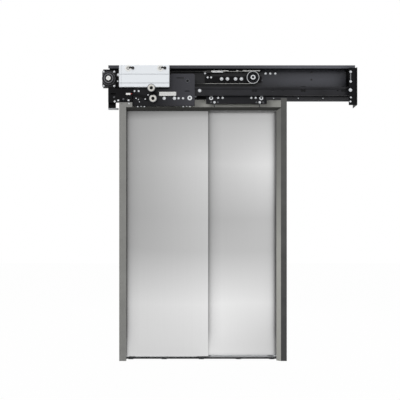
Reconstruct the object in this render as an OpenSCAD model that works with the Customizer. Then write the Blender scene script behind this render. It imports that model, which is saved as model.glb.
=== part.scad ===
// Two-panel side-opening telescopic elevator landing door.
// Portal, sill, panels, hangers, header and belt drive.
// Millimetres. X to the right, Y away from the landing, Z up.
// Origin: centre of the clear opening at floor level.

/* [Opening] */
// Clear width between the jambs
opening_w = 1200; // [1100:10:1260]
// Clear height under the head
opening_h = 2000; // [1900:10:2200]
// Face width of the left jamb
left_face = 55; // [45:1:65]
// Face width of the right jamb
right_face = 47; // [40:1:55]
// Width of the right jamb's splayed return
splay_w = 34; // [26:1:38]
// Height of the head's splayed soffit
splay_h = 18; // [14:1:20]
// Depth of the portal frame
portal_d = 20; // [18:1:24]
// Sheet thickness of the portal
portal_t = 2; // [1.5:0.1:2.2]

/* [Panels] */
// Thickness of a door panel
panel_t = 28; // [24:1:32]
// Sheet thickness of a panel's skin
skin_t = 1.5; // [1:0.1:2]
// Gap between the portal and the fast panel
panel_gap = 7; // [6:0.5:8]
// How far a panel laps behind a jamb
side_lap = 15; // [12:1:20]
// Right edge of the fast panel from the centre of the opening
panel_step = 55; // [40:1:60]
// Gap between the sill and a panel
foot_gap = 6; // [4:0.5:8]

/* [Hangers and tracks] */
// Thickness of a hanger plate
plate_t = 4; // [3:0.5:5]
// Radius of a fast hanger roller at the bottom of its groove
fast_roller_r = 44; // [40:1:46]
// Radius of a slow hanger roller at the bottom of its groove
slow_roller_r = 20; // [18:0.5:20]
// Width of a hanger roller
roller_w = 12; // [11:0.5:13]
// Radius of the round crown on a track
crown_r = 4; // [3.5:0.1:4.2]
// Height of the fast track without its crown
track_h = 67; // [60:1:70]
// Wall of a track
track_t = 3; // [2.5:0.5:4]
// Radius of a fast counter-roller
fast_counter_r = 22; // [20:0.5:23]
// Radius of a slow counter-roller
slow_counter_r = 18; // [16:0.5:19]
// Radius of a roller's axle
axle_r = 6; // [5:0.5:7]

/* [Header] */
// Distance from the clear height to the top of the header
header_rise = 374; // [366:1:390]
// Thickness of the header's web
web_t = 3; // [2:0.5:4]
// Height of the header's front lip
lip_h = 25; // [18:1:28]
// Length of the header beyond the right jamb
header_reach = 560; // [556:1:590]

/* [Drive] */
// Radius of a belt pulley
pulley_r = 48; // [44:0.5:50]
// Width of the toothed belt
belt_w = 10; // [8:1:12]
// Thickness of the toothed belt
belt_t = 3; // [2.5:0.5:3.5]
// Diameter of the motor's round body
motor_d = 107; // [96:1:110]
// Radius of a rope pulley at the rope's centre
rope_pulley_r = 20; // [18:0.5:20]
// Diameter of the relative rope
rope_d = 3; // [2:0.5:3.5]

/* [Lock] */
// Radius of a release roller
release_r = 32; // [28:1:33]
// Angle that the hook is lifted in the drawn position
hook_lift = 12; // [10:1:14]

/* [Sill] */
// Height of the sill's top above the floor
sill_top = 27; // [25:1:32]
// Height of the sill profile
sill_h = 14; // [12:1:15]
// Width of a guide groove
groove_w = 9; // [8:0.5:10]

/* [Clearances] */
// Gap between a roller and what it runs on
run_gap = 0.3; // [0.2:0.05:0.4]
// Radial clearance of a bore on its axle
bore_gap = 0.05; // [0.03:0.01:0.08]

/* [Hidden] */

// Widths across the opening
left_x = -opening_w / 2;
right_x = opening_w / 2;
left_out = left_x - left_face;
right_in = right_x + splay_w;
right_out = right_in + right_face;
open_clear = 1;
fast_x = [left_x - side_lap, panel_step];
travel_fast = right_x + open_clear - fast_x[0];
travel_slow = travel_fast / 2;
slow_x = [right_x + open_clear - travel_slow, right_x + side_lap + 12];
fast_plate_x = [fast_x[0] + 67, fast_x[1] - 108];
slow_plate_x = [slow_x[0] + 46, slow_x[1] - 98];
header_x = [left_out - 96, right_out + header_reach];

// Depths, from the landing to the shaft
fast_y = portal_d + panel_gap;
fast_panel_y = [fast_y, fast_y + panel_t];
fast_mid_y = (fast_panel_y[0] + fast_panel_y[1]) / 2;
stud_off = 8.8;
fast_plate_y = [fast_mid_y - stud_off - plate_t, fast_mid_y - stud_off];
fast_rail_y = fast_plate_y[1] + 3 + roller_w / 2;
fast_roller_y = [fast_rail_y - roller_w / 2, fast_rail_y + roller_w / 2];
fast_wall_y = [fast_roller_y[1] - 2, fast_roller_y[1] - 2 + track_t];
leg_t = 4;
leg_y = [fast_wall_y[1], fast_wall_y[1] + leg_t];
rope_y = leg_y[1] + 5;
slow_plate_y = [rope_y + 8, rope_y + 8 + plate_t];
slow_mid_y = slow_plate_y[1] + stud_off;
slow_panel_y = [slow_mid_y - panel_t / 2, slow_mid_y + panel_t / 2];
arm_t = 3;
slow_rail_y = slow_plate_y[1] + arm_t + 2 + roller_w / 2;
slow_roller_y = [slow_rail_y - roller_w / 2, slow_rail_y + roller_w / 2];
slow_wall_y = [slow_roller_y[1] + 3, slow_roller_y[1] + 3 + track_t];
web_y = [slow_wall_y[1] + 26, slow_wall_y[1] + 26 + web_t];
belt_y = slow_roller_y[1] + 12;
pulley_w = belt_w + 4;

// Heights
soffit_front = opening_h + splay_h;
head_top = soffit_front + 6;
fast_panel_z = [sill_top + foot_gap, opening_h + 26];
slow_panel_z = [sill_top + foot_gap, opening_h + 34];
fast_foot_z = opening_h + 41;
slow_foot_z = opening_h + 67;
track_z = [opening_h + 125, opening_h + 125 + track_h];
crown_z = track_z[1] + crown_r;
fast_axle_z = crown_z + run_gap + fast_roller_r;
fast_counter_z = track_z[0] - run_gap - fast_counter_r;
slow_rail_z = [opening_h + 132, opening_h + 141];
slow_crown_z = slow_rail_z[1] + crown_r;
slow_axle_z = slow_crown_z + run_gap + slow_roller_r;
slow_counter_z = slow_rail_z[0] - run_gap - slow_counter_r;
roller_lip = 3.4;
slow_top_z = opening_h + 190;
arm_z = [slow_top_z + 5, slow_top_z + 11];
header_z = [opening_h + 98, opening_h + header_rise];
anchor_pitch = 1500;
anchor_r = 5.5;

// Roller, bracket and fixing places along the header
fast_roller_x = [fast_plate_x[0] + 55, fast_plate_x[1] - 58];
fast_counter_x = [fast_plate_x[0] + 52, fast_plate_x[1] - 40];
slow_roller_x = [slow_plate_x[0] + 92, slow_plate_x[1] - 92];
slow_counter_x = [slow_plate_x[0] + 40, slow_plate_x[1] - 45];
clamp_x = [left_x + 315, left_x + 360];
bracket_w = 40;
bracket_x = [left_out + 25, clamp_x[0] - 45, clamp_x[1] + travel_slow + 60, right_x + 220, header_x[1] - 95];

// Belt drive
belt_z = opening_h + 286;
drive_x = header_x[0] + 4;
idler_x = clamp_x[1] + travel_slow + 52;
belt_r = pulley_r + belt_t;
shaft_r = 8;
motor_z = belt_z - 21;
motor_plate_y = [belt_y - pulley_w / 2 - 8, belt_y - pulley_w / 2 - 3];
motor_plate_z = [belt_z - 90, belt_z + 62];
motor_front_y = portal_d + 20;
post_y = rope_y - 4;

idler_plate_x = [idler_x - 390, idler_x + 72];
idler_plate_y = [belt_y + pulley_w / 2 + 3, belt_y + pulley_w / 2 + 7];
idler_bolt_x = [idler_x - 255, idler_x - 207, idler_x - 141, idler_x - 93];

// Rope loop that makes the fast panel move twice as far as the slow one
rope_arm = 18;
end_flange = 66;
buffer_l = 9;
rope_end_gap = 39;
rope_x = [slow_x[0] - 83, slow_x[0] - 83 + travel_slow + 2 * rope_end_gap];
rope_z = opening_h + 152;
rope_run_z = [rope_z - rope_pulley_r, rope_z + rope_pulley_r];
fast_clamp_x = rope_x[0] + rope_end_gap;
anchor_x = rope_x[1] - rope_end_gap;
rope_axle_r = 4;

// Lock
lock_x = fast_x[0] + 228;
lock_z = opening_h + 96;
upper_x = lock_x - 11;
upper_z = lock_z + 77;
base_y = [fast_plate_y[0] - 3.5, fast_plate_y[0]];
hook_y = [base_y[0] - 4, base_y[0] - 0.5];
lower_roller_y = [hook_y[0] - 14, hook_y[0] - 1.5];
upper_roller_y = [-22, -9.5];
pin_r = 5;
case_x = [left_out + 2, left_x + 342];
case_y = [-6, fast_plate_y[0] - 4];
case_z = [opening_h + 183, opening_h + 358];

// Shared shapes
module span(x, y, z) {
  translate([x[0], y[0], z[0]]) cube([x[1] - x[0], y[1] - y[0], z[1] - z[0]]);
}
module along_x(x) {
  translate([x[0], 0, 0]) rotate([90, 0, 90]) linear_extrude(x[1] - x[0]) children();
}
module along_y(y) {
  translate([0, y[1], 0]) rotate([90, 0, 0]) linear_extrude(y[1] - y[0]) children();
}
module along_z(z) {
  translate([0, 0, z[0]]) linear_extrude(z[1] - z[0]) children();
}
module pin_y(x, z, r, y) {
  translate([x, y[1], z]) rotate([90, 0, 0]) cylinder(h = y[1] - y[0], r = r, $fn = 40);
}
module pin_z(x, y, r, z) {
  translate([x, y, z[0]]) cylinder(h = z[1] - z[0], r = r, $fn = 32);
}
module hex_y(x, z, across, y) {
  translate([x, y[1], z]) rotate([90, 0, 0]) cylinder(h = y[1] - y[0], d = across / cos(30), $fn = 6);
}
module hex_z(x, y, across, z) {
  translate([x, y, z[0]]) cylinder(h = z[1] - z[0], d = across / cos(30), $fn = 6);
}
// A hexagon bolt with a washer, seated on the face at depth y, its shank behind it
module bolt_y(x, z, y, size, shank = 0) {
  hex_y(x, z, size * 1.6, [y - size * 0.75, y - size * 0.15]);
  pin_y(x, z, size * 1.15, [y - size * 0.15, y]);
  if (shank > 0) pin_y(x, z, size / 2, [y, y + shank]);
}
module rounded(x, z, r) {
  translate([x[0] + r, z[0]]) square([x[1] - x[0] - 2 * r, z[1] - z[0]]);
  translate([x[0], z[0] + r]) square([x[1] - x[0], z[1] - z[0] - 2 * r]);
  for (cx = [x[0] + r, x[1] - r]) for (cz = [z[0] + r, z[1] - r]) translate([cx, cz]) circle(r = r, $fn = 32);
}
// A flat bar with round ends from one point to another, in a profile
module link2d(p, q, width) {
  run = q - p;
  translate(p) rotate(atan2(run[1], run[0])) {
    translate([0, -width / 2]) square([norm(run), width]);
    for (at = [0, norm(run)]) translate([at, 0]) circle(d = width, $fn = 32);
  }
}
// A slot along X or Z with round ends, in a profile
module slot2d(x, z, length, width, upright = false) {
  turn = upright ? 90 : 0;
  translate([x, z]) rotate(turn) {
    square([length - width, width], center = true);
    for (side = [-1, 1]) translate([side * (length - width) / 2, 0]) circle(d = width, $fn = 24);
  }
}
// A grooved hanger roller that runs on a round crown
module hanger_roller(x, y, z, r) {
  rim = r + roller_lip;
  half = roller_w / 2;
  cut = crown_r + 0.2;
  translate([x, y, z]) rotate([90, 0, 0]) rotate_extrude($fn = 72) difference() {
    union() {
      translate([axle_r + bore_gap, -half + 1.5]) square([r * 0.45, roller_w - 3]);
      translate([axle_r + bore_gap + r * 0.4, -half + 3]) square([r * 0.35, roller_w - 6]);
      translate([r * 0.72, -half]) square([rim - r * 0.72, roller_w]);
      translate([axle_r + bore_gap, -half]) square([4, roller_w]);
    }
    translate([r + crown_r, 0]) circle(r = cut + 0.1, $fn = 40);
  }
}
module flat_roller(x, y, z, r, w, bore) {
  translate([x, y, z]) rotate([90, 0, 0]) rotate_extrude($fn = 64) {
    translate([bore + bore_gap, -w / 2]) square([3, w]);
    translate([bore + bore_gap, -w / 2 + 1]) square([r - bore - bore_gap - 3, w - 2]);
    translate([r - 4, -w / 2]) square([4, w]);
  }
}

// Portal
module left_jamb() color("#85857f") {
  difference() {
    along_z([0, head_top]) {
      translate([left_out, 0]) square([left_face, portal_t]);
      translate([left_x - portal_t, 0]) square([portal_t, portal_d]);
      translate([left_x - 12, portal_d - portal_t]) square([12, portal_t]);
      translate([left_out, 0]) square([portal_t, web_y[0] - 4]);
      translate([left_out, web_y[0] - 4 - portal_t]) square([22, portal_t]);
    }
    for (z = [300, 1700]) translate([left_out - 1, web_y[0] - 40, z]) rotate([0, 90, 0])
      cylinder(h = portal_t + 2, r = anchor_r, $fn = 32);
  }
}
module right_jamb() color("#5c5c5e") {
  along_z([0, opening_h + 97]) translate([right_in, 0]) square([right_face, portal_t]);
  along_z([0, opening_h + 40]) {
    translate([right_out - portal_t, 0]) square([portal_t, portal_d]);
    translate([right_out - 12, portal_d - portal_t]) square([12, portal_t]);
  }
  intersection() {
    along_z([0, soffit_front]) polygon([
      [right_in, 0], [right_in + portal_t, 0], [right_in + portal_t, portal_t],
      [right_x + portal_t * 1.2, portal_d], [right_x, portal_d]]);
    along_x([right_x - 1, right_out])
      polygon([[0, 0], [0, soffit_front], [portal_d, opening_h], [portal_d, 0]]);
  }
}
module frame_head() color("#66665f") {
  intersection() {
    along_x([left_x, right_in]) polygon([
      [0, soffit_front], [portal_d, opening_h], [portal_d, opening_h + 14],
      [portal_d - portal_t, opening_h + 14], [portal_d - portal_t, opening_h + portal_t * 2],
      [portal_t, soffit_front + portal_t * 0.4], [portal_t, head_top], [0, head_top]]);
    along_z([opening_h - 1, head_top + 1])
      polygon([[left_x, -1], [right_in, -1], [right_in, 0], [right_x, portal_d], [left_x, portal_d]]);
  }
}
module rear_transom() color("#7c7c76") {
  z = [opening_h + 12, header_z[0] + 12];
  y = [web_y[0] - 4, web_y[0]];
  difference() {
    span([left_out, right_out], y, z);
    for (x = [left_out + 40 : 160 : right_out - 30]) pin_y(x, z[1] - 6, 3.2, [y[0] - 1, y[1] + 1]);
  }
  span([left_out + 24, right_out], [y[0] - 18, y[0]], [z[0], z[0] + 3]);
}
module corner_gusset() color("#85857f") {
  z = [head_top, opening_h + 62];
  span([left_out, fast_plate_x[0] - 3], [0, portal_t], z);
  span([left_out, left_out + portal_t], [portal_t, web_y[0] - 4], z);
  span([left_out, left_out + 24], [portal_t, portal_d], [z[0], z[0] + portal_t]);
  for (x = [left_out + 20, left_out + 74]) bolt_y(x, opening_h + 52, 0, 5);
}

// Sill
module sill() color("#2e3134") {
  x = [left_out + portal_t + 0.5, right_out];
  y = [portal_d + 1, slow_panel_y[1] + 8];
  deep = sill_h - 4;
  difference() {
    span(x, y, [sill_top - sill_h, sill_top]);
    for (mid = [fast_mid_y, slow_mid_y])
      span([x[0] - 1, x[1] + 1], [mid - groove_w / 2, mid + groove_w / 2], [sill_top - deep, sill_top + 1]);
    for (rib = [y[0] + 4 : 3 : fast_mid_y - groove_w / 2 - 3])
      span([x[0] - 1, x[1] + 1], [rib, rib + 1.2], [sill_top - 0.8, sill_top + 1]);
  }
}
module sill_brackets() color("#3a3c3e") {
  y = [slow_mid_y - 14, slow_panel_y[1] + 6];
  low = sill_top - sill_h;
  for (x = [left_x + 30, left_x / 2, 0, right_x / 2, right_x - 30]) {
    span([x - 20, x + 20], y, [0, 3]);
    span([x - 20, x + 20], [y[1] - 3, y[1]], [3, low]);
    span([x - 2, x + 2], [y[0] + 4, y[1] - 3], [3, low]);
  }
}

// Panels
module panel_skin(x, y, z) {
  hem = 16;
  along_z(z) {
    translate([x[0], y[0]]) square([x[1] - x[0], skin_t]);
    for (edge = [x[0], x[1] - skin_t]) translate([edge, y[0]]) square([skin_t, y[1] - y[0]]);
    for (edge = [x[0], x[1] - hem]) translate([edge, y[1] - skin_t]) square([hem, skin_t]);
  }
}
module panel_frame(x, y, z) {
  wall = 2;
  in = [y[0] + skin_t, y[1] - skin_t];
  side = [x[0] + skin_t, x[1] - skin_t];
  for (at = [0.25, 0.5, 0.75]) {
    mid = side[0] + at * (side[1] - side[0]);
    along_z([z[0] + 32, z[1] - 32]) {
      for (leg = [-1, 1]) translate([mid + leg * 24 - wall / 2, in[0]]) square([wall, in[1] - in[0]]);
      translate([mid - 25, in[1] - wall]) square([50, wall]);
      for (leg = [-1, 1]) translate([mid + leg * 31 - 8, in[0]]) square([16, wall]);
    }
  }
  for (end = [[z[0], z[0] + 30], [z[1] - 30, z[1]]]) difference() {
    along_x(side) difference() {
      translate([in[0], end[0]]) square([in[1] - in[0], 30]);
      low = end[0] == z[0];
      translate([in[0] + wall, end[0] + (low ? wall : -1)]) square([in[1] - in[0] - 2 * wall, 29]);
    }
    if (end[0] > z[0]) for (px = bolt_places(x))
      pin_z(px, (in[0] + in[1]) / 2, 4.3, [end[1] - 4, end[1] + 1]);
    if (end[0] == z[0]) for (px = shoe_places(x))
      for (side = [-16, 16]) pin_z(px + side, (in[0] + in[1]) / 2, 2.6, [end[0] - 1, end[0] + 4]);
  }
}
function bolt_places(x) = x[0] == fast_x[0]
  ? [fast_plate_x[0] + 64, fast_plate_x[1] - 66]
  : [slow_plate_x[0] + 67, slow_plate_x[1] - 57];
function shoe_places(x) = [x[0] + 60, x[1] - 70];
module fast_panel() color("#b4b4b4") panel_skin(fast_x, fast_panel_y, fast_panel_z);
module slow_panel() color("#c4c4c4") panel_skin(slow_x, slow_panel_y, slow_panel_z);
module fast_panel_frame() color("#8c8e90") panel_frame(fast_x, fast_panel_y, fast_panel_z);
module slow_panel_frame() color("#8c8e90") panel_frame(slow_x, slow_panel_y, slow_panel_z);
module guide_shoes(x, mid, z) {
  blade = groove_w - 1.6;
  for (px = shoe_places(x)) {
    span([px - 26, px + 26], [mid - 9, mid + 9], [z[0] - 3, z[0]]);
    span([px - 22, px + 22], [mid - blade / 2, mid + blade / 2], [sill_top - sill_h + 5, z[0] - 3]);
    for (side = [-16, 16]) pin_z(px + side, mid, 2.5, [z[0], z[0] + 6]);
  }
}
module fast_guide_shoes() color("#1d1d1f") guide_shoes(fast_x, fast_mid_y, fast_panel_z);
module slow_guide_shoes() color("#1d1d1f") guide_shoes(slow_x, slow_mid_y, slow_panel_z);

// Header
module header_channel() color("#3c3c40") {
  y_lip = rope_y;
  difference() {
    union() {
      span(header_x, web_y, header_z);
      span(header_x, [y_lip, web_y[1]], [header_z[1] - web_t, header_z[1]]);
      span(header_x, [y_lip, y_lip + web_t], [header_z[1] - lip_h, header_z[1]]);
      span(header_x, [web_y[0], web_y[1] + 14], [header_z[0], header_z[0] + web_t]);
    }
    for (x = [left_x, left_x + anchor_pitch]) for (z = [header_z[1] - 100, header_z[1] - 40])
      pin_y(x, z, anchor_r, [web_y[0] - 1, web_y[1] + 1]);
  }
}
module left_post() color("#2a2a2d") {
  x = [header_x[0], header_x[0] + 62];
  y = [post_y, web_y[0]];
  top = motor_plate_z[0];
  span(x, [y[0], y[0] + web_t], [opening_h + 28, top]);
  span([x[0], x[0] + web_t], y, [opening_h + 28, top]);
  span(x, [y[1] - web_t, y[1]], [header_z[0] + 4, top]);
}
module left_post_foot() color("#b9b9b4") {
  span([header_x[0], left_out], [post_y, web_y[0] - 4], [opening_h + 12, opening_h + 28]);
}
module right_end_bracket() color("#303033") {
  x = [header_x[1] - end_flange, header_x[1]];
  low = opening_h + 40;
  top = header_z[1] - lip_h - 11;
  y = [portal_t - web_t, web_y[0]];
  screw_z = [top - 110, top - 33];
  difference() {
    union() {
      span(x, [y[0], y[0] + web_t], [low, top]);
      span([x[1] - web_t, x[1]], y, [low, header_z[1] - web_t - 1]);
      span([x[0] + 8, x[1]], [y[1] - web_t, y[1]], [header_z[0] + 4, header_z[1] - web_t - 1]);
      span([x[1] - 8, x[1]], [y[0] - 6, y[0]], [low, top]);
    }
    along_y([y[0] - 1, y[0] + web_t + 1])
      slot2d(x[0] + 15, (screw_z[0] + screw_z[1]) / 2, screw_z[1] - screw_z[0] - 20, 9, true);
    span([x[0], x[1] + 1], [y[0] - 7, rope_y], [top, header_z[1] + 1]);
    span([x[0], x[1] + 1], [rope_y - 0.3, web_y[0] + 1], [header_z[1] - lip_h - 0.3, header_z[1] + 1]);
  }
  for (z = screw_z) bolt_y(x[0] + 15, z, y[0], 8, web_t);
  bolt_y(x[0] + 13, opening_h + 160, y[0], 11);
}
module front_rail() color("#38383b") {
  x = [right_x - 82, header_x[1] - 40];
  z = [opening_h + 80, opening_h + 104];
  span(x, [portal_t, portal_t + 3], z);
  span([right_out + 0.5, header_x[1] - end_flange - 0.3], [-4, portal_t], [z[1] - 3, z[1]]);
  for (at = [x[0] + 60, x[0] + 257, x[1] - 229, x[1] - 41])
    bolt_y(at, (z[0] + z[1]) / 2, portal_t, 6);
}
module fast_track() color("#26262a") {
  x = [left_out, header_x[1] - 24];
  lip = 5;
  difference() {
    union() {
      span(x, fast_wall_y, [track_z[0], track_z[1] - 3]);
      span(x, [fast_rail_y - 5, fast_wall_y[1]], [track_z[0], track_z[0] + lip]);
      span(x, [fast_rail_y - 5, fast_rail_y + 5], [track_z[1] - 12, track_z[1]]);
      translate([x[0], fast_rail_y, track_z[1]]) rotate([0, 90, 0])
        cylinder(h = x[1] - x[0], r = crown_r, $fn = 40);
    }
    for (hole = [right_x - 25, right_x + 57, x[1] - 119])
      pin_y(hole, track_z[0] + 42, 5.5, [fast_wall_y[0] - 1, fast_wall_y[1] + 1]);
  }
}
module slow_track() color("#26262a") {
  x = [left_out + 20, header_x[1] - 4];
  span(x, slow_wall_y, [slow_rail_z[0], slow_top_z]);
  span(x, [slow_rail_y - 5, slow_wall_y[1]], slow_rail_z);
  translate([x[0], slow_rail_y, slow_rail_z[1]]) rotate([0, 90, 0])
    cylinder(h = x[1] - x[0], r = crown_r, $fn = 40);
}
module track_brackets() color("#2e2e31") {
  for (mid = bracket_x) {
    x = [mid - bracket_w / 2, mid + bracket_w / 2];
    span(x, leg_y, [track_z[0] + 6, arm_z[1]]);
    span(x, [leg_y[0], web_y[0]], arm_z);
    span(x, [web_y[0] - 4, web_y[0]], [header_z[0] + 20, arm_z[1]]);
    span(x, [slow_wall_y[1], web_y[0] - 4], [slow_rail_z[1] + 8, slow_rail_z[1] + 16]);
    span(x, [slow_wall_y[1], slow_wall_y[1] + 4], [slow_rail_z[0] + 4, slow_top_z]);
    along_x([mid - 3, mid + 3]) polygon([
      [slow_wall_y[1] + 4, arm_z[0]], [web_y[0] - 4, arm_z[0]], [web_y[0] - 4, slow_rail_z[1] + 16]]);
  }
}
module header_bolts() color("#c9ccd0") {
  for (mid = bracket_x) for (dx = [-11, 11]) bolt_y(mid + dx, track_z[0] + 42, fast_wall_y[0], 8);
  for (mid = bracket_x) pin_z(mid, web_y[0] - 12, 5, [arm_z[1], arm_z[1] + 4]);
  for (x = idler_bolt_x) bolt_y(x, belt_z - 8, idler_plate_y[0], 12);
  for (x = [idler_plate_x[0] + 21, idler_plate_x[0] + 50]) bolt_y(x, belt_z + 4, idler_plate_y[0], 7);
  bolt_y(drive_x + 74, belt_z + 18, motor_plate_y[0], 10);
  bolt_y(drive_x + 68, belt_z - 33, motor_plate_y[0], 6);
  for (dx = [105, 144, 185]) bolt_y(idler_x + dx, belt_z + 39, web_y[0], 8);
}
module stop_buffers() color("#1b1b1c") {
  z = rope_z + 8;
  seat = header_x[1] - web_t - 6;
  mid = (slow_plate_y[0] + slow_plate_y[1]) / 2;
  translate([seat - buffer_l, mid, z]) rotate([0, 90, 0]) cylinder(h = buffer_l, r = 5.5, $fn = 32);
  span([seat, header_x[1] - web_t], [mid - 5.5, mid + 11], [z - 11, z + 11]);
}

// Belt drive
module motor_bracket() color("#2b2b2e") {
  x = [header_x[0] - 46, header_x[0] + 96];
  z = motor_plate_z;
  difference() {
    span(x, motor_plate_y, z);
    pin_y(drive_x, belt_z, shaft_r + 5, [motor_plate_y[0] - 1, motor_plate_y[1] + 1]);
  }
  for (low = [z[0], z[1] - 4])
    span([x[1] - 36, x[1]], [motor_plate_y[1], web_y[0]], [low, low + 4]);
  span([x[1] - 36, x[1]], [web_y[0] - 4, web_y[0]], z);
}
module motor_body() color("#1f1f22") {
  y = [motor_front_y, motor_plate_y[0]];
  half = motor_d / 2;
  along_y([y[1] - 22, y[1]]) rounded([drive_x - half, drive_x + half], [motor_z - 66, motor_z + 67], 9);
  pin_y(drive_x, motor_z, half - 3, [y[0] + 6, y[1] - 22]);
  for (ring = [0 : 3]) pin_y(drive_x, motor_z, half, [y[0] + 8 + ring * 6, y[0] + 11 + ring * 6]);
  pin_y(drive_x, motor_z, half - 12, [y[0], y[0] + 6]);
  along_y([y[0] - 6, y[0]]) rounded([drive_x - 19, drive_x + 19], [motor_z - 19, motor_z + 19], 9);
  for (dx = [-half + 9, half - 9]) for (dz = [-57, 58])
    bolt_y(drive_x + dx, motor_z + dz, y[1] - 22, 8);
  pin_y(drive_x, belt_z, shaft_r, [y[1], belt_y + pulley_w / 2 + 4]);
}
module belt_wheel(x, bore, teeth) {
  half = belt_w / 2 + 0.5;
  tooth_turn = 360 / teeth;
  translate([x, belt_y, belt_z]) rotate([90, 0, 0]) difference() {
    rotate_extrude($fn = 90) {
      translate([bore + bore_gap, -half - 1.5]) square([9, 2 * half + 3]);
      translate([bore + bore_gap, -2]) square([pulley_r - bore - 4, 4]);
      translate([pulley_r - 8, -half]) square([8 - run_gap, 2 * half]);
      for (side = [-half - 1.5, half]) translate([pulley_r - 8, side]) square([8 + belt_t, 1.5]);
    }
    for (k = [0 : 4]) rotate(k * 72) translate([pulley_r * 0.52, 0, -3]) cylinder(h = 6, r = 7.5, $fn = 24);
    for (k = [0 : teeth - 1]) rotate(k * tooth_turn) translate([pulley_r - run_gap, 0, -half])
      cylinder(h = 2 * half, r = 1, $fn = 4);
  }
}
module drive_pulley() color("#c4c6c8") belt_wheel(drive_x, shaft_r, 30);
module idler_pulley() color("#c4c6c8") belt_wheel(idler_x, shaft_r, 30);
module idler_bracket() color("#39393d") {
  z = [belt_z - 34, belt_z + 12];
  difference() {
    along_y(idler_plate_y) rounded(idler_plate_x, z, 5);
    along_y([idler_plate_y[0] - 1, idler_plate_y[1] + 1]) slot2d(idler_x - 20, belt_z - 26, 60, 7);
  }
  for (x = [idler_plate_x[0] + 12, idler_x - 90, idler_plate_x[1] - 12])
    pin_y(x, z[0] + 14, 9, [idler_plate_y[1], web_y[0]]);
  pin_y(idler_x, belt_z, shaft_r, [belt_y - pulley_w / 2 - 6, idler_plate_y[0]]);
  pin_y(idler_x, belt_z, 20, [belt_y - pulley_w / 2 - 6, belt_y - pulley_w / 2 - 2]);
  pin_y(idler_x, belt_z, 14, [idler_plate_y[0] - 1.5, idler_plate_y[0]]);
}
module belt_loop(r) {
  translate([drive_x, belt_z]) circle(r = r, $fn = 96);
  translate([idler_x, belt_z]) circle(r = r, $fn = 96);
  translate([drive_x, belt_z - r]) square([idler_x - drive_x, 2 * r]);
}
module drive_belt() color("#232326") {
  y = [belt_y - belt_w / 2, belt_y + belt_w / 2];
  along_y(y) difference() {
    belt_loop(belt_r);
    belt_loop(pulley_r);
  }
  joint_x = [idler_x - 332, idler_x - 244];
  top = belt_z + belt_r;
  for (low = [top, top - belt_t - 8]) span(joint_x, [y[0] - 3, y[1] + 3], [low, low + 8]);
  for (x = [joint_x[0] + 14 : 20 : joint_x[1] - 8]) pin_z(x, belt_y, 3, [top + 8, top + 11]);
}
module drive_arm() color("#4a4c50") {
  y = [slow_plate_y[1], slow_plate_y[1] + arm_t];
  run = belt_z - belt_r;
  span([clamp_x[0] - 15, slow_plate_x[0] - 8], y, [slow_rail_z[1] + 9, slow_top_z - 2]);
  span(clamp_x, y, [slow_top_z - 2, run - 8]);
  span(clamp_x, [y[0], belt_y + belt_w / 2 + 4], [run - 8, run - 5]);
}
module belt_clamp() color("#c9ccd0") {
  y = [belt_y - belt_w / 2 - 4, belt_y + belt_w / 2 + 4];
  run = belt_z - belt_r;
  span(clamp_x, y, [run - 5, run - run_gap]);
  difference() {
    span(clamp_x, y, [run + belt_t + run_gap, run + belt_t + 7]);
    for (x = [clamp_x[0] + 4 : 5 : clamp_x[1] - 4])
      span([x, x + 2], [y[0] + 3, y[1] - 3], [run + belt_t, run + belt_t + 1.2]);
  }
  for (x = [clamp_x[0] + 8, clamp_x[1] - 8]) for (edge = [y[0], y[1] - 3])
    span([x - 3, x + 3], [edge, edge + 3], [run - run_gap, run + belt_t + run_gap]);
  for (x = [clamp_x[0] + 8, clamp_x[1] - 8]) hex_z(x, belt_y, 7, [run + belt_t + 7, run + belt_t + 11]);
}

// Rope loop
module relative_rope() color("#8c8f92") {
  r = rope_d / 2;
  for (z = rope_run_z) translate([rope_x[0], rope_y, z]) rotate([0, 90, 0])
    cylinder(h = rope_x[1] - rope_x[0], r = r, $fn = 16);
  for (side = [0, 1]) translate([rope_x[side], rope_y, rope_z]) rotate([90, 0, 0])
    rotate(side == 0 ? 90 : -90) rotate_extrude(angle = 180, $fn = 48)
      translate([rope_pulley_r, 0]) circle(r = r, $fn = 16);
}
module rope_wheel(x) {
  translate([x, rope_y, rope_z]) rotate([90, 0, 0]) rotate_extrude($fn = 64) difference() {
    translate([rope_axle_r + bore_gap, -3.4]) square([rope_pulley_r + 2 - rope_axle_r, 6.8]);
    translate([rope_pulley_r, -rope_d / 2 - run_gap]) square([6, rope_d + 2 * run_gap]);
    translate([rope_pulley_r, 0]) circle(r = rope_d / 2 + run_gap, $fn = 32);
    for (side = [-1, 1]) translate([11, side * 4 - 1]) square([rope_pulley_r - 15, 2]);
  }
}
module rope_pulley_left() color("#b8babd") rope_wheel(rope_x[0]);
module rope_pulley_right() color("#b8babd") rope_wheel(rope_x[1]);
module rope_grip(x, z) {
  y = [rope_y - 3.4, rope_y + 2.6];
  for (side = [0, 1]) {
    edge = side == 0 ? [z - 7, z - rope_d / 2 - run_gap] : [z + rope_d / 2 + run_gap, z + 7];
    span([x - 11, x + 11], y, edge);
  }
  span([x - 11, x + 11], [y[0], rope_y - rope_d / 2 - run_gap], [z - 7, z + 7]);
}
module rope_anchor() color("#77797c") {
  z = rope_run_z[1];
  rope_grip(anchor_x, z);
  span([anchor_x - 11, anchor_x + 11], [fast_wall_y[1], rope_y - 3.4], [z - 7, z + 7]);
}
module fast_rope_clamp() color("#77797c") {
  z = rope_run_z[0];
  low = [track_z[0] - 14, track_z[0] - 5];
  rope_grip(fast_clamp_x, z);
  span([fast_clamp_x - 11, fast_clamp_x + 11], [rope_y - 3.4, rope_y + 2.6], [low[0], z - 7]);
  span([fast_clamp_x - 11, fast_clamp_x + 11], [fast_plate_y[1], rope_y - 3.4], low);
  span([fast_clamp_x - 30, fast_clamp_x + 11], [fast_plate_y[1], fast_plate_y[1] + 2.5], low);
}

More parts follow.
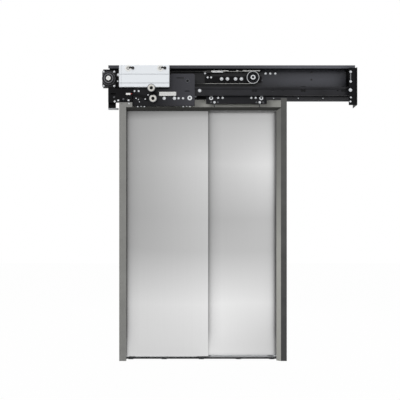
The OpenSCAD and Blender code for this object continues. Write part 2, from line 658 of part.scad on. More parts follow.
// Hangers
module hanger_foot(x, y, z) {
  difference() {
    span(x, y, [z, z + 5]);
    for (px = [x[0] : x[1] - x[0] : x[1]]) translate([px, y[1], z - 1]) cylinder(h = 7, r = 9, $fn = 40);
    children();
  }
}
module fast_hanger() color("#2c2c30") {
  x = fast_plate_x;
  z = fast_foot_z;
  top = fast_axle_z + 57;
  difference() {
    along_y(fast_plate_y) difference() {
      polygon([
        [x[0], z], [x[1], z], [x[1], top - 8], [x[1] - 8, top],
        [case_x[1] + 18, top], [case_x[1] - 6, top - 24],
        [case_x[1] - 6, z + 134], [fast_roller_x[0] + 62, z + 134], [fast_roller_x[0] + 30, fast_axle_z + 20],
        [fast_roller_x[0] + 16, fast_axle_z + 30], [fast_roller_x[0] - 16, fast_axle_z + 30],
        [fast_roller_x[0] - 30, fast_axle_z + 20], [x[0], z + 118]]);
      for (hx = [x[0] + 154, x[1] - 188, x[1] - 150]) translate([hx, z + 76]) circle(r = 7, $fn = 40);
      slot2d(x[1] - 116, fast_axle_z + 24, 64, 8);
      slot2d(x[1] - 60, z + 118, 40, 7);
    }
  }
  hanger_foot(x, [fast_plate_y[1], fast_panel_y[1] - 2], z)
    for (px = bolt_places(fast_x)) pin_z(px, fast_mid_y, 4.4, [z - 1, z + 6]);
}
module slow_hanger() color("#2c2c30") {
  x = slow_plate_x;
  z = slow_foot_z;
  top = slow_top_z - 2;
  arm = [rope_z - 15, rope_z + 34];
  difference() {
    along_y(slow_plate_y) difference() {
      polygon([
        [x[0], z], [x[1], z], [x[1], arm[0]], [rope_x[1] + rope_arm, arm[0]], [rope_x[1] + rope_arm, arm[1]],
        [x[1] - 20, top], [x[0] + 20, top], [rope_x[0] - rope_arm, top - 2], [rope_x[0] - rope_arm, arm[0]],
        [x[0], arm[0]]]);
      for (hx = [x[0] + 200, x[0] + 290]) slot2d(hx, z + 74, 60, 16);
    }
  }
  hanger_foot(x, [slow_plate_y[1], slow_panel_y[1] - 2], z)
    for (px = bolt_places(slow_x)) pin_z(px, slow_mid_y, 4.4, [z - 1, z + 6]);
}
// A stud that hangs a panel from its hanger's foot, with its nuts
module hanging_stud(x, y, panel_top, foot) {
  pin_z(x, y, 4, [panel_top - 9, foot + 19]);
  hex_z(x, y, 13, [panel_top - 9, panel_top - 2]);
  hex_z(x, y, 13, [foot - 6.5, foot]);
  pin_z(x, y, 8.4, [foot + 5, foot + 6.5]);
  hex_z(x, y, 13, [foot + 6.5, foot + 13]);
}
// A roller's axle behind the hanger plate, with the shoulder that spaces it
module axle_stub(x, z, r, plate, roller) {
  pin_y(x, z, r, [plate, roller[1] + 0.4]);
  pin_y(x, z, r + 3, [plate, roller[0] - 0.3]);
}
module fast_bolts() color("#aab0b5") {
  y = fast_plate_y;
  for (x = bolt_places(fast_x)) hanging_stud(x, fast_mid_y, fast_panel_z[1], fast_foot_z);
  for (x = fast_roller_x) {
    axle_stub(x, fast_axle_z, axle_r, y[1], fast_roller_y);
    pin_y(x, fast_axle_z, 16, [y[0] - 2, y[0]]);
    hex_y(x, fast_axle_z, 19, [y[0] - 3.6, y[0] - 2]);
  }
  for (x = fast_counter_x) {
    axle_stub(x, fast_counter_z, axle_r, y[1], [fast_rail_y - 5, fast_rail_y + 5]);
    pin_y(x, fast_counter_z, 18, [y[0] - 2, y[0]]);
    hex_y(x, fast_counter_z, 20, [y[0] - 3.2, y[0] - 2]);
  }
  for (x = [fast_x[1] - 353, fast_x[1] - 271]) bolt_y(x, fast_counter_z - 2, y[0], 11);
  for (x = [fast_x[1] - 238, fast_x[1] - 202]) bolt_y(x, fast_counter_z - 2, y[0], 7);
  for (x = [fast_plate_x[0] + 12, fast_plate_x[0] + 45]) bolt_y(x, fast_counter_z + 56, y[0], 6);
}
module slow_bolts() color("#aab0b5") {
  y = slow_plate_y;
  for (x = bolt_places(slow_x)) hanging_stud(x, slow_mid_y, slow_panel_z[1], slow_foot_z);
  for (x = slow_roller_x) {
    axle_stub(x, slow_axle_z, axle_r, y[1], slow_roller_y);
    pin_y(x, slow_axle_z, 14, [y[0] - 2, y[0]]);
  }
  for (x = slow_counter_x) {
    axle_stub(x, slow_counter_z, axle_r, y[1], [slow_rail_y - 5, slow_rail_y + 5]);
    pin_y(x, slow_counter_z, 18, [y[0] - 2.5, y[0]]);
    hex_y(x, slow_counter_z, 20, [y[0] - 4.2, y[0] - 2.5]);
  }
  for (x = [slow_counter_x[0] + 57, slow_counter_x[0] + 93, slow_counter_x[1] - 87, slow_counter_x[1] - 52])
    bolt_y(x, slow_counter_z, y[0], 5);
  for (x = rope_x) {
    pin_y(x, rope_z, rope_axle_r, [rope_y - 3.4 - 0.8, y[0]]);
    pin_y(x, rope_z, rope_axle_r + 3, [rope_y + 3.4 + 0.4, y[0]]);
  }
}
module fast_roller_left() color("#d8d2c0")
  hanger_roller(fast_roller_x[0], fast_rail_y, fast_axle_z, fast_roller_r);
module fast_roller_right() color("#d8d2c0")
  hanger_roller(fast_roller_x[1], fast_rail_y, fast_axle_z, fast_roller_r);
module slow_roller_left() color("#d8d2c0")
  hanger_roller(slow_roller_x[0], slow_rail_y, slow_axle_z, slow_roller_r);
module slow_roller_right() color("#d8d2c0")
  hanger_roller(slow_roller_x[1], slow_rail_y, slow_axle_z, slow_roller_r);
module fast_counter(x) flat_roller(x, fast_rail_y, fast_counter_z, fast_counter_r, 10, axle_r);
module slow_counter(x) flat_roller(x, slow_rail_y, slow_counter_z, slow_counter_r, 10, axle_r);
module fast_counter_left() color("#9fa3a8") fast_counter(fast_counter_x[0]);
module fast_counter_right() color("#9fa3a8") fast_counter(fast_counter_x[1]);
module slow_counter_left() color("#9fa3a8") slow_counter(slow_counter_x[0]);
module slow_counter_right() color("#9fa3a8") slow_counter(slow_counter_x[1]);

// Lock and release rollers
hook_reach = 226;
module lock_base() color("#2a2a2d") {
  difference() {
    along_y(base_y) {
      link2d([lock_x, lock_z], [lock_x - 52, lock_z + 6], 40);
      link2d([lock_x, lock_z], [lock_x + 20, lock_z + 36], 28);
    }
    pin_y(lock_x - 34, lock_z - 6, 4, [base_y[0] - 1, base_y[1] + 1]);
  }
  pin_y(lock_x, lock_z, pin_r, [lower_roller_y[0] - 0.5, base_y[0]]);
  for (p = [[-54, -2], [-54, 14]]) pin_y(lock_x + p[0], lock_z + p[1], 4, [base_y[0] - 0.3, base_y[0]]);
}
module lock_hook() color("#8f9296") {
  difference() {
    union() {
      along_y(hook_y) {
        translate([lock_x, lock_z]) rotate(-hook_lift) {
          polygon([
            [0, -14], [-60, -6], [-hook_reach + 24, -2], [-hook_reach + 12, -2], [-hook_reach + 12, -14],
            [-hook_reach, -14], [-hook_reach, 4], [-hook_reach + 8, 12], [-60, 12], [0, 15]]);
          circle(r = 17, $fn = 48);
        }
        polygon([
          [lock_x - 9, lock_z + 10], [lock_x + 10, lock_z + 8],
          [upper_x + 8, upper_z], [upper_x - 8, upper_z]]);
        translate([upper_x, upper_z]) circle(r = 8.5, $fn = 48);
      }
      pin_y(upper_x, upper_z, pin_r, [upper_roller_y[0] - 2, hook_y[0]]);
      pin_y(upper_x, upper_z, pin_r + 2, [upper_roller_y[1] + 0.4, hook_y[0]]);
    }
    pin_y(lock_x, lock_z, pin_r + bore_gap, [hook_y[0] - 1, hook_y[1] + 1]);
  }
}
module release_roller(x, z, y) {
  mid = (y[0] + y[1]) / 2;
  w = y[1] - y[0];
  translate([x, mid, z]) rotate([90, 0, 0]) rotate_extrude($fn = 64) {
    translate([pin_r + bore_gap, -w / 2]) square([4, w]);
    translate([pin_r + bore_gap, -w / 2 + 3]) square([release_r - 10 - pin_r, w - 6]);
    translate([release_r - 13, -w / 2]) square([11, w]);
    translate([release_r - 4, -w / 2 + 1.5]) square([4, w - 3]);
  }
}
module release_roller_upper() color("#c9c6bd") release_roller(upper_x, upper_z, upper_roller_y);
module release_roller_lower() color("#c9c6bd") release_roller(lock_x, lock_z, lower_roller_y);
module lock_keeper() color("#27272a") {
  x = [header_x[0] + 6, fast_plate_x[0] - 3];
  y = [hook_y[0] - 9, hook_y[0] - 5];
  z = [opening_h + 62, opening_h + 175];
  difference() {
    span(x, y, z);
    along_y([y[0] - 1, y[1] + 1]) slot2d(x[0] + 40, z[0] + 70, 42, 9);
  }
  span([x[0], x[0] + 3], [y[1], post_y], z);
  catch = lock_x - hook_reach + 14;
  span([catch, catch + 12], [y[1], hook_y[1] + 0.5], [lock_z - 16, lock_z - 4]);
  for (p = [[52, 10], [81, 18], [122, 28], [163, 19], [48, 44]]) bolt_y(x[0] + p[0], z[0] + p[1], y[0], 6);
}
module contact_housing() color("#c3c3bd") {
  x = [lock_x + 49, lock_x + 185];
  y = [fast_plate_y[0] - 11, fast_plate_y[0]];
  z = [opening_h + 119, opening_h + 150];
  difference() {
    along_y(y) rounded(x, z, 4);
    for (px = [x[0] + 18 : 25 : x[1] - 10]) pin_y(px, z[0] + 10, 3, [y[0] - 1, y[0] + 2]);
  }
  along_y([y[0] - 2.5, y[0]]) rounded([x[0] + 6, x[1] - 6], [z[1] - 12, z[1] - 4], 3);
}

// Controller
module controller_case() color("#e4e8ec") {
  groove = [case_z[0] + 31, case_z[0] + 101];
  difference() {
    along_x(case_x) polygon([
      [case_y[0] + 4, case_z[0]], [case_y[1], case_z[0]], [case_y[1], case_z[1]], [case_y[0] + 4, case_z[1]],
      [case_y[0], case_z[1] - 4], [case_y[0], case_z[0] + 4]]);
    for (z = groove) span([case_x[0] - 1, case_x[1] + 1], [case_y[0] - 1, case_y[0] + 3], [z, z + 3]);
    span([case_x[0] + 14, case_x[0] + 15.5], [case_y[0] - 1, case_y[0] + 2], [case_z[0] - 1, case_z[1] + 1]);
  }
  span([case_x[0] + 40, case_x[1] - 40], [case_y[1], rope_y], [case_z[1] - 7, case_z[1] - 3]);
}
module controller_fixings() color("#b9bcbd") {
  for (at = [70, case_x[1] - case_x[0] - 70]) {
    x = case_x[0] + at;
    pin_y(x, case_z[1] - 26, 25, [case_y[0] - 3, case_y[0]]);
    pin_y(x, case_z[1] - 26, 8, [case_y[0] - 6, case_y[0] - 3]);
    along_y([case_y[0] - 8, case_y[0]]) slot2d(x + 50, case_z[1] - 24, 42, 22);
  }
  for (x = case_x) along_x(x == case_x[0] ? [x - 2.5, x] : [x, x + 2.5])
    translate([case_y[0] + 1, case_z[0] + 1]) square([case_y[1] - case_y[0] - 2, case_z[1] - case_z[0] - 2]);
}

header_channel();
left_post();
left_post_foot();
right_end_bracket();
front_rail();
fast_track();
slow_track();
track_brackets();
header_bolts();
left_jamb();
right_jamb();
frame_head();
rear_transom();
corner_gusset();
sill();
sill_brackets();
motor_bracket();
motor_body();
controller_case();
controller_fixings();
idler_bracket();
drive_belt();
lock_keeper();
rope_anchor();
stop_buffers();
fast_hanger();
fast_panel();
fast_panel_frame();
fast_bolts();
fast_guide_shoes();
lock_base();
contact_housing();
fast_rope_clamp();
slow_hanger();
slow_panel();
slow_panel_frame();
slow_bolts();
slow_guide_shoes();
drive_arm();
belt_clamp();
relative_rope();
fast_roller_left();
fast_roller_right();
slow_roller_left();
slow_roller_right();
fast_counter_left();
fast_counter_right();
slow_counter_left();
slow_counter_right();
drive_pulley();
idler_pulley();
rope_pulley_left();
rope_pulley_right();
lock_hook();
release_roller_upper();
release_roller_lower();
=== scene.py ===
# %% [markdown]
# # An elevator landing door in Blender
# The door's steel parts come from a CAD frame: portal, sill, panels, hangers, tracks and drive.
# This lesson dresses them. It gives every part its finish, adds the small pieces that CAD leaves
# out, and sets up a camera, lights and a white studio like the ones in a product photograph.

# %% Load the frame
import math

import bmesh
import bpy
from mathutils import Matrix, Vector


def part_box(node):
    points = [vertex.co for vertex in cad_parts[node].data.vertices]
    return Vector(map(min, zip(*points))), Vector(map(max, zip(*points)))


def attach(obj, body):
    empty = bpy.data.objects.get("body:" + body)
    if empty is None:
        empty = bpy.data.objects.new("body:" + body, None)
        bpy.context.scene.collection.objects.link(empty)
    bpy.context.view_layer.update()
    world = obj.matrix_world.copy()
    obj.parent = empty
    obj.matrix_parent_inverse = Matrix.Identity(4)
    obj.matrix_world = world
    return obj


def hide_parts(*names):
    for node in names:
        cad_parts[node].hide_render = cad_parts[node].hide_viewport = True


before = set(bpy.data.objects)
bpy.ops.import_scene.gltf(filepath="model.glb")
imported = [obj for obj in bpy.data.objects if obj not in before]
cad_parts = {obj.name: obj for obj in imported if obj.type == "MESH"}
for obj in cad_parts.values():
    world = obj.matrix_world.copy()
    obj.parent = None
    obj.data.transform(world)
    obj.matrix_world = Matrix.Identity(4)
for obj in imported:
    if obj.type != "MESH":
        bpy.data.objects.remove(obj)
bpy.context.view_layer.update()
MM = 0.001

# %% [markdown]
# The camera stands in front of the door at about chest height and looks straight in, so that the
# jambs stay upright. A shift lifts the picture instead of a tilt, as an architect's lens does.
# The distance was worked out from how the right jamb's splayed return shows its depth.

# %% Camera
CAMERA_PLACE = (-0.011, -4.5, 1.03)
PHOTO_SIDE = 400
FOCAL_PIXELS = 564.6
HORIZON_ROW = 231.8
SENSOR = 36
camera_data = bpy.data.cameras.new("camera")
camera_data.sensor_width = SENSOR
camera_data.lens = FOCAL_PIXELS / PHOTO_SIDE * SENSOR
camera_data.shift_y = (HORIZON_ROW - PHOTO_SIDE / 2) / PHOTO_SIDE
camera = bpy.data.objects.new("camera", camera_data)
camera.location = CAMERA_PLACE
camera.rotation_euler = (math.pi / 2, 0, 0)
bpy.context.scene.collection.objects.link(camera)
bpy.context.scene.camera = camera
bpy.context.scene.view_settings.view_transform = "Standard"
print("lens", round(camera_data.lens, 2), "mm")

# %% [markdown]
# Colours are written as the hex values that a picture editor shows. Blender works with linear
# light, so one function does that change for every colour in the scene. Another adds a node, fills
# its sockets and gives back its outputs, ready to be the next node's links.

# %% Colours and nodes
def linear(code):
    parts = [int(code[i : i + 2], 16) / 255 for i in (1, 3, 5)]
    return (*(c / 12.92 if c <= 0.04045 else ((c + 0.055) / 1.055) ** 2.4 for c in parts), 1.0)


def wire(tree, node, links):
    for socket, value in links.items():
        if isinstance(value, bpy.types.NodeSocket):
            tree.links.new(value, node.inputs[socket])
        else:
            node.inputs[socket].default_value = value


def add(tree, kind, links=None, stops=(), **settings):
    node = tree.nodes.new("ShaderNode" + kind)
    for key, value in settings.items():
        setattr(node, key, value)
    while stops and len(node.color_ramp.elements) < len(stops):
        node.color_ramp.elements.new(0.5)
    for mark, (at, code) in zip(node.color_ramp.elements if stops else (), stops):
        mark.position = at
        mark.color = linear(code)
    wire(tree, node, links or {})
    return node.outputs


print("mid grey is", round(linear("#808080")[0], 3), "in linear light")

# %% [markdown]
# Every finish starts from Blender's principled shader and is placed by object coordinates, in
# metres. So a pattern's scale is one over its real size, and it stays on a part that slides.

# %% Starting a finish
def start(name, metallic, roughness):
    material = bpy.data.materials.new(name)
    material.use_nodes = True
    tree = material.node_tree
    shader = tree.nodes["Principled BSDF"]
    wire(tree, shader, {"Metallic": metallic, "Roughness": roughness})
    print("finish", name)
    return material, tree, shader


def places(tree, scale=(1, 1, 1)):
    where = add(tree, "TexCoord")["Object"]
    return add(tree, "Mapping", {"Vector": where, "Scale": scale})["Vector"]


# %% [markdown]
# A steel panel shows a soft copy of the room, in broad bands of lighter and darker grey from floor
# to head. A few soft stops along its height paint these bands into the colour as a painted
# reflection, and a slow wave keeps them from lying dead level. A painted sheen also makes each
# panel brighter on one side, which eases off near the head. Close to the jambs and the head the
# steel can only reflect those, and painted shade darkens the colour there: the Ambient Occlusion
# node finds these places, at any position of the door.

# %% Painted reflection, sheen and shade on a panel
PANEL_FOOT = 0.033
PANEL_HEAD = 2.03
REFLECTION_WAVE = 0.08
CORNER_SHADE_REACH = 0.11
CORNER_SHADE_LEVEL = 0.42


def panel_place(tree):
    split = add(tree, "SeparateXYZ", {"Vector": places(tree)})
    height = add(tree, "MapRange", {"Value": split["Z"], "From Min": PANEL_FOOT,
                                    "From Max": PANEL_HEAD})
    return split["X"], height["Result"]


def painted_reflection_bands(tree, height, bands):
    wave = add(tree, "TexNoise", {"Vector": places(tree, (1.3, 1, 0.6)), "Scale": 1.0,
                                  "Detail": 0.0})
    waved = add(tree, "Math", {0: wave["Fac"], 1: REFLECTION_WAVE, 2: height}, operation="MULTIPLY_ADD")
    centred = add(tree, "Math", {0: waved[0], 1: REFLECTION_WAVE / 2}, operation="SUBTRACT")
    return add(tree, "ValToRGB", {"Fac": centred[0]}, bands)["Color"]


def painted_side_sheen(tree, height, x, middle, tilt):
    lean = add(tree, "MapRange", {"Value": height, "From Min": 0.1, "From Max": 0.75,
                                  "To Min": tilt[0], "To Max": tilt[1]})
    ease = add(tree, "MapRange", {"Value": height, "From Min": 0.80, "From Max": 0.97,
                                  "To Min": 1.0, "To Max": 0.35})
    eased = add(tree, "Math", {0: lean["Result"], 1: ease["Result"]}, operation="MULTIPLY")
    across = add(tree, "Math", {0: x, 1: middle}, operation="SUBTRACT")
    return add(tree, "Math", {0: across[0], 1: eased[0], 2: 1.0}, operation="MULTIPLY_ADD")[0]


def painted_corner_shade(tree, height):
    near = add(tree, "AmbientOcclusion", {"Distance": CORNER_SHADE_REACH}, samples=8)
    shade = add(tree, "MapRange", {"Value": near["AO"], "From Min": 0.45,
                                   "From Max": 1.0, "To Min": CORNER_SHADE_LEVEL, "To Max": 1.0})
    foot = add(tree, "MapRange", {"Value": height, "From Min": 0.0, "From Max": 0.12},
               interpolation_type="SMOOTHSTEP")
    return add(tree, "MapRange", {"Value": foot["Result"], "To Min": 1.0,
                                  "To Max": shade["Result"]})["Result"]


# %% [markdown]
# The panels are stainless steel sheet, ground with a fine belt from top to bottom. The belt leaves
# scratches a fraction of a millimetre wide and some 40 cm long, which blur what the steel reflects
# mostly sideways. A noise stretched along Z gives those scratches. They are drawn about 2 mm wide,
# because finer ones would not show at this distance. Steel is a metal: metallic 1, the default
# IOR, and a roughness of 0.30 to 0.44 for a ground face. Anisotropy pulls the highlights long.

# %% Brushed stainless steel
SCRATCH = 2 * MM
SCRATCH_LENGTH = 0.4
SCRATCH_DEPTH = 0.2 * MM
FAST_REFLECTION_BANDS = [(0.04, "#e0e0e0"), (0.20, "#e5e5e5"), (0.42, "#bfbfbf"), (0.56, "#bcbcbc"),
              (0.78, "#c4c4c4"), (0.95, "#b4b4b4"), (0.985, "#8c8c8c")]
SLOW_REFLECTION_BANDS = [(0.04, "#dedede"), (0.20, "#ededed"), (0.42, "#c6c6c6"), (0.56, "#c0c0c0"),
              (0.78, "#dbdbdb"), (0.96, "#c0c0c0")]


def brushed_stainless(name, bands, middle, tilt):
    material, tree, shader = start(name, 1.0, 0.36)
    x, height = panel_place(tree)
    fine = places(tree, (1 / SCRATCH, 1 / SCRATCH, 1 / SCRATCH_LENGTH))
    grain = add(tree, "TexNoise", {"Vector": fine, "Scale": 1.0, "Detail": 3.0})["Fac"]
    speck = add(tree, "MapRange", {"Value": grain, "To Min": 0.96, "To Max": 1.04})
    # Painted light: the painted reflection bands, the painted side sheen and the painted corner
    # shade multiply into the base colour.
    side = painted_side_sheen(tree, height, x, middle, tilt)
    level = add(tree, "Math", {0: side, 1: speck["Result"]}, operation="MULTIPLY")
    sheen_and_shade = add(tree, "Math", {0: level[0], 1: painted_corner_shade(tree, height)}, operation="MULTIPLY")
    reflection_colour = painted_reflection_bands(tree, height, bands)
    painted_light_colour = add(tree, "VectorMath", {0: reflection_colour, "Scale": sheen_and_shade[0]}, operation="SCALE")
    rough = add(tree, "MapRange", {"Value": grain, "To Min": 0.30, "To Max": 0.44})
    bump = add(tree, "Bump", {"Height": grain, "Strength": 0.08, "Distance": SCRATCH_DEPTH})
    wire(tree, shader, {"Base Color": painted_light_colour["Vector"], "Normal": bump["Normal"],
                        "Roughness": rough["Result"], "Anisotropic": 0.5})
    return material


fast_steel = brushed_stainless("brushed_stainless_fast", FAST_REFLECTION_BANDS, -0.28, (0.15, 0.75))
slow_steel = brushed_stainless("brushed_stainless_slow", SLOW_REFLECTION_BANDS, 0.34, (-0.45, 0.65))

# %% [markdown]
# Most of the drive is mild steel under black powder coat. The powder melts into a skin with a
# faint orange-peel ripple about 1.5 mm wide and a soft gloss, so it is never quite black: it shows
# the pale studio in its sheen. Its IOR is about 1.5, as Blender's default is. A matt powder
# reflects less than a smooth one, which the specular level sets. Coats also vary a little in
# patches some 14 cm across, and run round every edge, which a bevel in the shader shows.
# The portal wears a satin paint of the same kind. Zinc-dipped sheet has a coarser bloom, about
# 6 mm wide, and black oxide is a thin dark skin with an oily gloss on screws.

# %% Painted and coated steel
ORANGE_PEEL = 1.5 * MM
PEEL_DEPTH = 0.05 * MM
ROUND_EDGE = 0.8 * MM
PATCHES_PER_METRE = 7.0
ZINC_BLOOM = 6 * MM


def powder_skin(tree, shader, patches, roughness, ripple=ORANGE_PEEL):
    peel = add(tree, "TexNoise", {"Vector": places(tree), "Scale": 1 / ripple, "Detail": 2.0})
    edge = add(tree, "Bevel", {"Radius": ROUND_EDGE}, samples=4)
    bump = add(tree, "Bump", {"Height": peel["Fac"], "Strength": 0.12,
                              "Distance": PEEL_DEPTH, "Normal": edge["Normal"]})
    rough = add(tree, "MapRange", {"Value": patches, "To Min": roughness - 0.05,
                                   "To Max": roughness + 0.05})
    wire(tree, shader, {"Roughness": rough["Result"], "Normal": bump["Normal"]})


def coated(name, fresh, worn, roughness, gloss=0.5, ripple=ORANGE_PEEL):
    material, tree, shader = start(name, 0.0, roughness)
    patches = add(tree, "TexNoise", {"Vector": places(tree), "Scale": PATCHES_PER_METRE,
                                     "Detail": 3.0})["Fac"]
    mixed = add(tree, "MapRange", {"Value": patches, "From Min": 0.3, "From Max": 0.7})
    colour = add(tree, "ValToRGB", {"Fac": mixed["Result"]}, [(0.0, fresh), (1.0, worn)])
    wire(tree, shader, {"Specular IOR Level": gloss, "Base Color": colour["Color"]})
    powder_skin(tree, shader, patches, roughness, ripple)
    return material


black_coat = coated("black_powder_coat", "#0b0b0d", "#121214", 0.40, gloss=0.10)
# The slow hanger, the tracks and the front rail wear the same black coat as the rest, drawn in
# lighter blacks for the light that falls on each: painted light.
slow_hanger_coat = coated("slow_hanger_coat_painted_light", "#17171a", "#202024", 0.36, gloss=0.18)
track_coat = coated("black_track_paint_painted_light", "#1f1f22", "#29292d", 0.34, gloss=0.22)
rail_coat = coated("black_rail_paint_painted_light", "#1c1c1f", "#252528", 0.34, gloss=0.26)
left_grey = coated("grey_jamb_paint", "#80807d", "#888885", 0.42)
# The head and the soffit wear the jambs' satin grey: the rear transom behind the panels is drawn
# lighter, as painted light, and the soffit under the lintel near black, as painted shade.
head_painted_light = coated("head_paint_painted_light", "#bfbfb9", "#c7c7c1", 0.45)
soffit_painted_shade = coated("soffit_paint_painted_shade", "#20201d", "#272724", 0.5, gloss=0.35)
motor_coat = coated("motor_black_enamel", "#101012", "#19191b", 0.34, gloss=0.30)
galvanised = coated("galvanised_sheet", "#8d9093", "#a4a7a9", 0.42, ripple=ZINC_BLOOM)
black_oxide = coated("black_oxide_steel", "#0e0e0f", "#151516", 0.38, gloss=0.20)

# %% [markdown]
# Some coated parts are painted lighter or darker from one end or face to another: painted light
# and shade. A blend between two colours does that, and each part says where it runs: along an axis,
# or over the faces that look one way. Painted shade can also darken a deep fold where little light
# gets in, and one end of the blend can be bare metal.

# %% Coats with painted light and shade across a part
FOLD_SHADE_REACH = 0.1
CLOUD_SHARE = 0.12


def painted_light_coat(name, roughness, gloss, first, second, factor, deep=1.0, bare=False):
    material, tree, shader = start(name, 0.0, roughness)
    patches = add(tree, "TexNoise", {"Vector": places(tree), "Scale": 9.0, "Detail": 3.0})["Fac"]
    blend = factor(tree)
    cloudy = add(tree, "Math", {0: patches, 1: CLOUD_SHARE, 2: blend}, operation="MULTIPLY_ADD")
    colour = add(tree, "ValToRGB", {"Fac": cloudy[0]},
                 [(CLOUD_SHARE / 2, first), (1.0, second)])["Color"]
    # Painted shade: the colour darkens in deep folds, which the Ambient Occlusion node finds.
    if deep < 1:
        near = add(tree, "AmbientOcclusion", {"Distance": FOLD_SHADE_REACH}, samples=4)
        dark = add(tree, "MapRange", {"Value": near["AO"], "From Min": 0.45,
                                      "From Max": 0.85, "To Min": deep})
        colour = add(tree, "VectorMath", {0: colour, "Scale": dark["Result"]},
                     operation="SCALE")["Vector"]
    wire(tree, shader, {"Specular IOR Level": gloss, "Base Color": colour})
    if bare:
        wire(tree, shader, {"Metallic": blend})
    powder_skin(tree, shader, patches, roughness)
    return material


def along(axis, low, high):
    def factor(tree):
        split = add(tree, "SeparateXYZ", {"Vector": places(tree)})
        return add(tree, "MapRange", {"Value": split[axis], "From Min": low, "From Max": high},
                   interpolation_type="SMOOTHSTEP")["Result"]
    return factor


def facing(axis, low, high):
    def factor(tree):
        split = add(tree, "SeparateXYZ", {"Vector": add(tree, "TexCoord")["Normal"]})
        return add(tree, "MapRange", {"Value": split[axis], "From Min": low,
                                      "From Max": high})["Result"]
    return factor


# %% [markdown]
# The header's web and lip get a painted sheen that grows towards the free right end, which nothing
# shades, and painted shade in their deep folds. The fast hanger is painted darker at its left end,
# behind the controller, and lighter to the right: painted shade and sheen. The right jamb's face
# is painted darker than its splayed return, which looks at the pale panel and floor, and both
# change a little with height: painted light and shade. The sill is an aluminium extrusion with a
# bright bare tread, and its faces that don't look up are painted near black: painted shade. The
# belt is a light grey polyurethane, and the run of it in the shade of the controller is painted
# much darker: painted shade.

# %% Where the coats change: painted sheen, light and shade
LIP_SHEEN_SHARE = 0.38
RUN_SHEEN_SHARE = 0.62


# Painted sheen: lighter towards the right end and on the lip.
def header_painted_sheen(tree):
    run = along("X", 0.2, 0.9)(tree)
    lip = along("Z", 2.345, 2.35)(tree)
    part = add(tree, "Math", {0: run, 1: RUN_SHEEN_SHARE}, operation="MULTIPLY")
    return add(tree, "Math", {0: lip, 1: LIP_SHEEN_SHARE, 2: part[0]}, operation="MULTIPLY_ADD")[0]


# Painted light and shade: the return is lighter than the face, more so towards the bottom, and the
# whole jamb a little lighter higher up.
def jamb_painted_light(tree):
    aside = facing("X", -0.2, -0.5)(tree)
    lift = add(tree, "MapRange", {"Value": along("Z", 2.1, 0.4)(tree), "To Min": 0.14,
                                  "To Max": 1.0})
    up = add(tree, "Math", {0: along("Z", 0.1, 1.7)(tree), 1: 0.09}, operation="MULTIPLY")
    return add(tree, "Math", {0: aside, 1: lift["Result"], 2: up[0]}, operation="MULTIPLY_ADD")[0]


# Painted sheen on the header, and painted shade in its folds.
header_coat = painted_light_coat("header_coat_painted_sheen_and_shade", 0.34, 0.30, "#1d1d20", "#585960", header_painted_sheen,
                         deep=0.02)
right_jamb_painted_light = painted_light_coat("right_jamb_paint_painted_light", 0.42, 0.30, "#3f3f3f", "#adada7", jamb_painted_light)
# Painted shade and sheen: darker at the left end, behind the controller, and lighter to the right.
fast_hanger_coat = painted_light_coat("fast_hanger_coat_painted_shade_and_sheen", 0.36, 0.18, "#131316", "#3e3e43",
                              along("X", -0.42, -0.06))
# Painted shade: the faces that don't look up are near black, and the tread is bright bare metal.
sill_metal = painted_light_coat("anodised_sill_painted_shade", 0.34, 0.3, "#101113", "#f8fafc",
                        facing("Z", 0.4, 0.8), bare=True)
# Painted shade: the belt is much darker left of X = 0, in the shade of the controller.
belt_polymer = painted_light_coat("grey_polyurethane_painted_shade", 0.38, 0.4, "#3c3c3c", "#c0c0bd",
                          along("X", 0.0, 0.06))

# %% [markdown]
# Screws and clamps are zinc plated, bearing rings are ground steel, the controller's case is an
# aluminium extrusion with a clear anodised skin, and pulleys are turned. All are bare metals, with
# metallic 1 and the default IOR. Tint, roughness and the direction of the tool marks tell them
# apart: turning leaves marks round the axis, extruding along X. Real marks are far finer, and are
# drawn 1.2 mm wide so that they show when the view comes close.

# %% Bare metals
TOOL_MARK = 1.2 * MM
MARK_DEPTH = 0.1 * MM
BROKEN_EDGE = 0.5 * MM
GROUND, TURNED, EXTRUDED = (1, 6, 1), (1, 8, 1), (0.05, 1, 1)


def bare_metal(name, dark, light, roughness, stretch=(1, 1, 1), bumpy=0.10):
    material, tree, shader = start(name, 1.0, roughness)
    scale = tuple(s / TOOL_MARK for s in stretch)
    marks = add(tree, "TexNoise", {"Vector": places(tree, scale), "Scale": 1.0,
                                   "Detail": 4.0})["Fac"]
    colour = add(tree, "ValToRGB", {"Fac": marks}, [(0.25, dark), (0.75, light)])
    rough = add(tree, "MapRange", {"Value": marks, "To Min": roughness - 0.06,
                                   "To Max": roughness + 0.08})
    edge = add(tree, "Bevel", {"Radius": BROKEN_EDGE}, samples=4)
    bump = add(tree, "Bump", {"Height": marks, "Strength": bumpy, "Distance": MARK_DEPTH,
                              "Normal": edge["Normal"]})
    wire(tree, shader, {"Base Color": colour["Color"], "Normal": bump["Normal"],
                        "Roughness": rough["Result"]})
    return material


zinc = bare_metal("bright_zinc_plate", "#c4c7cb", "#eceef0", 0.26)
dull_zinc = bare_metal("dull_zinc_plate", "#55575a", "#77797c", 0.40)
slot_steel = bare_metal("grey_zinc_strip", "#77797c", "#989a9d", 0.40)
bearing = bare_metal("ground_bearing_steel", "#9a9da1", "#d2d4d6", 0.22, GROUND)
turned = bare_metal("turned_aluminium", "#b9bbbd", "#dcdddf", 0.28, TURNED)
dark_pulley = bare_metal("blackened_steel_pulley", "#1d1d1f", "#2c2c2f", 0.34, TURNED)
anodised = bare_metal("clear_anodised_aluminium", "#ebeff3", "#f1f4f8", 0.46, EXTRUDED, bumpy=0.05)
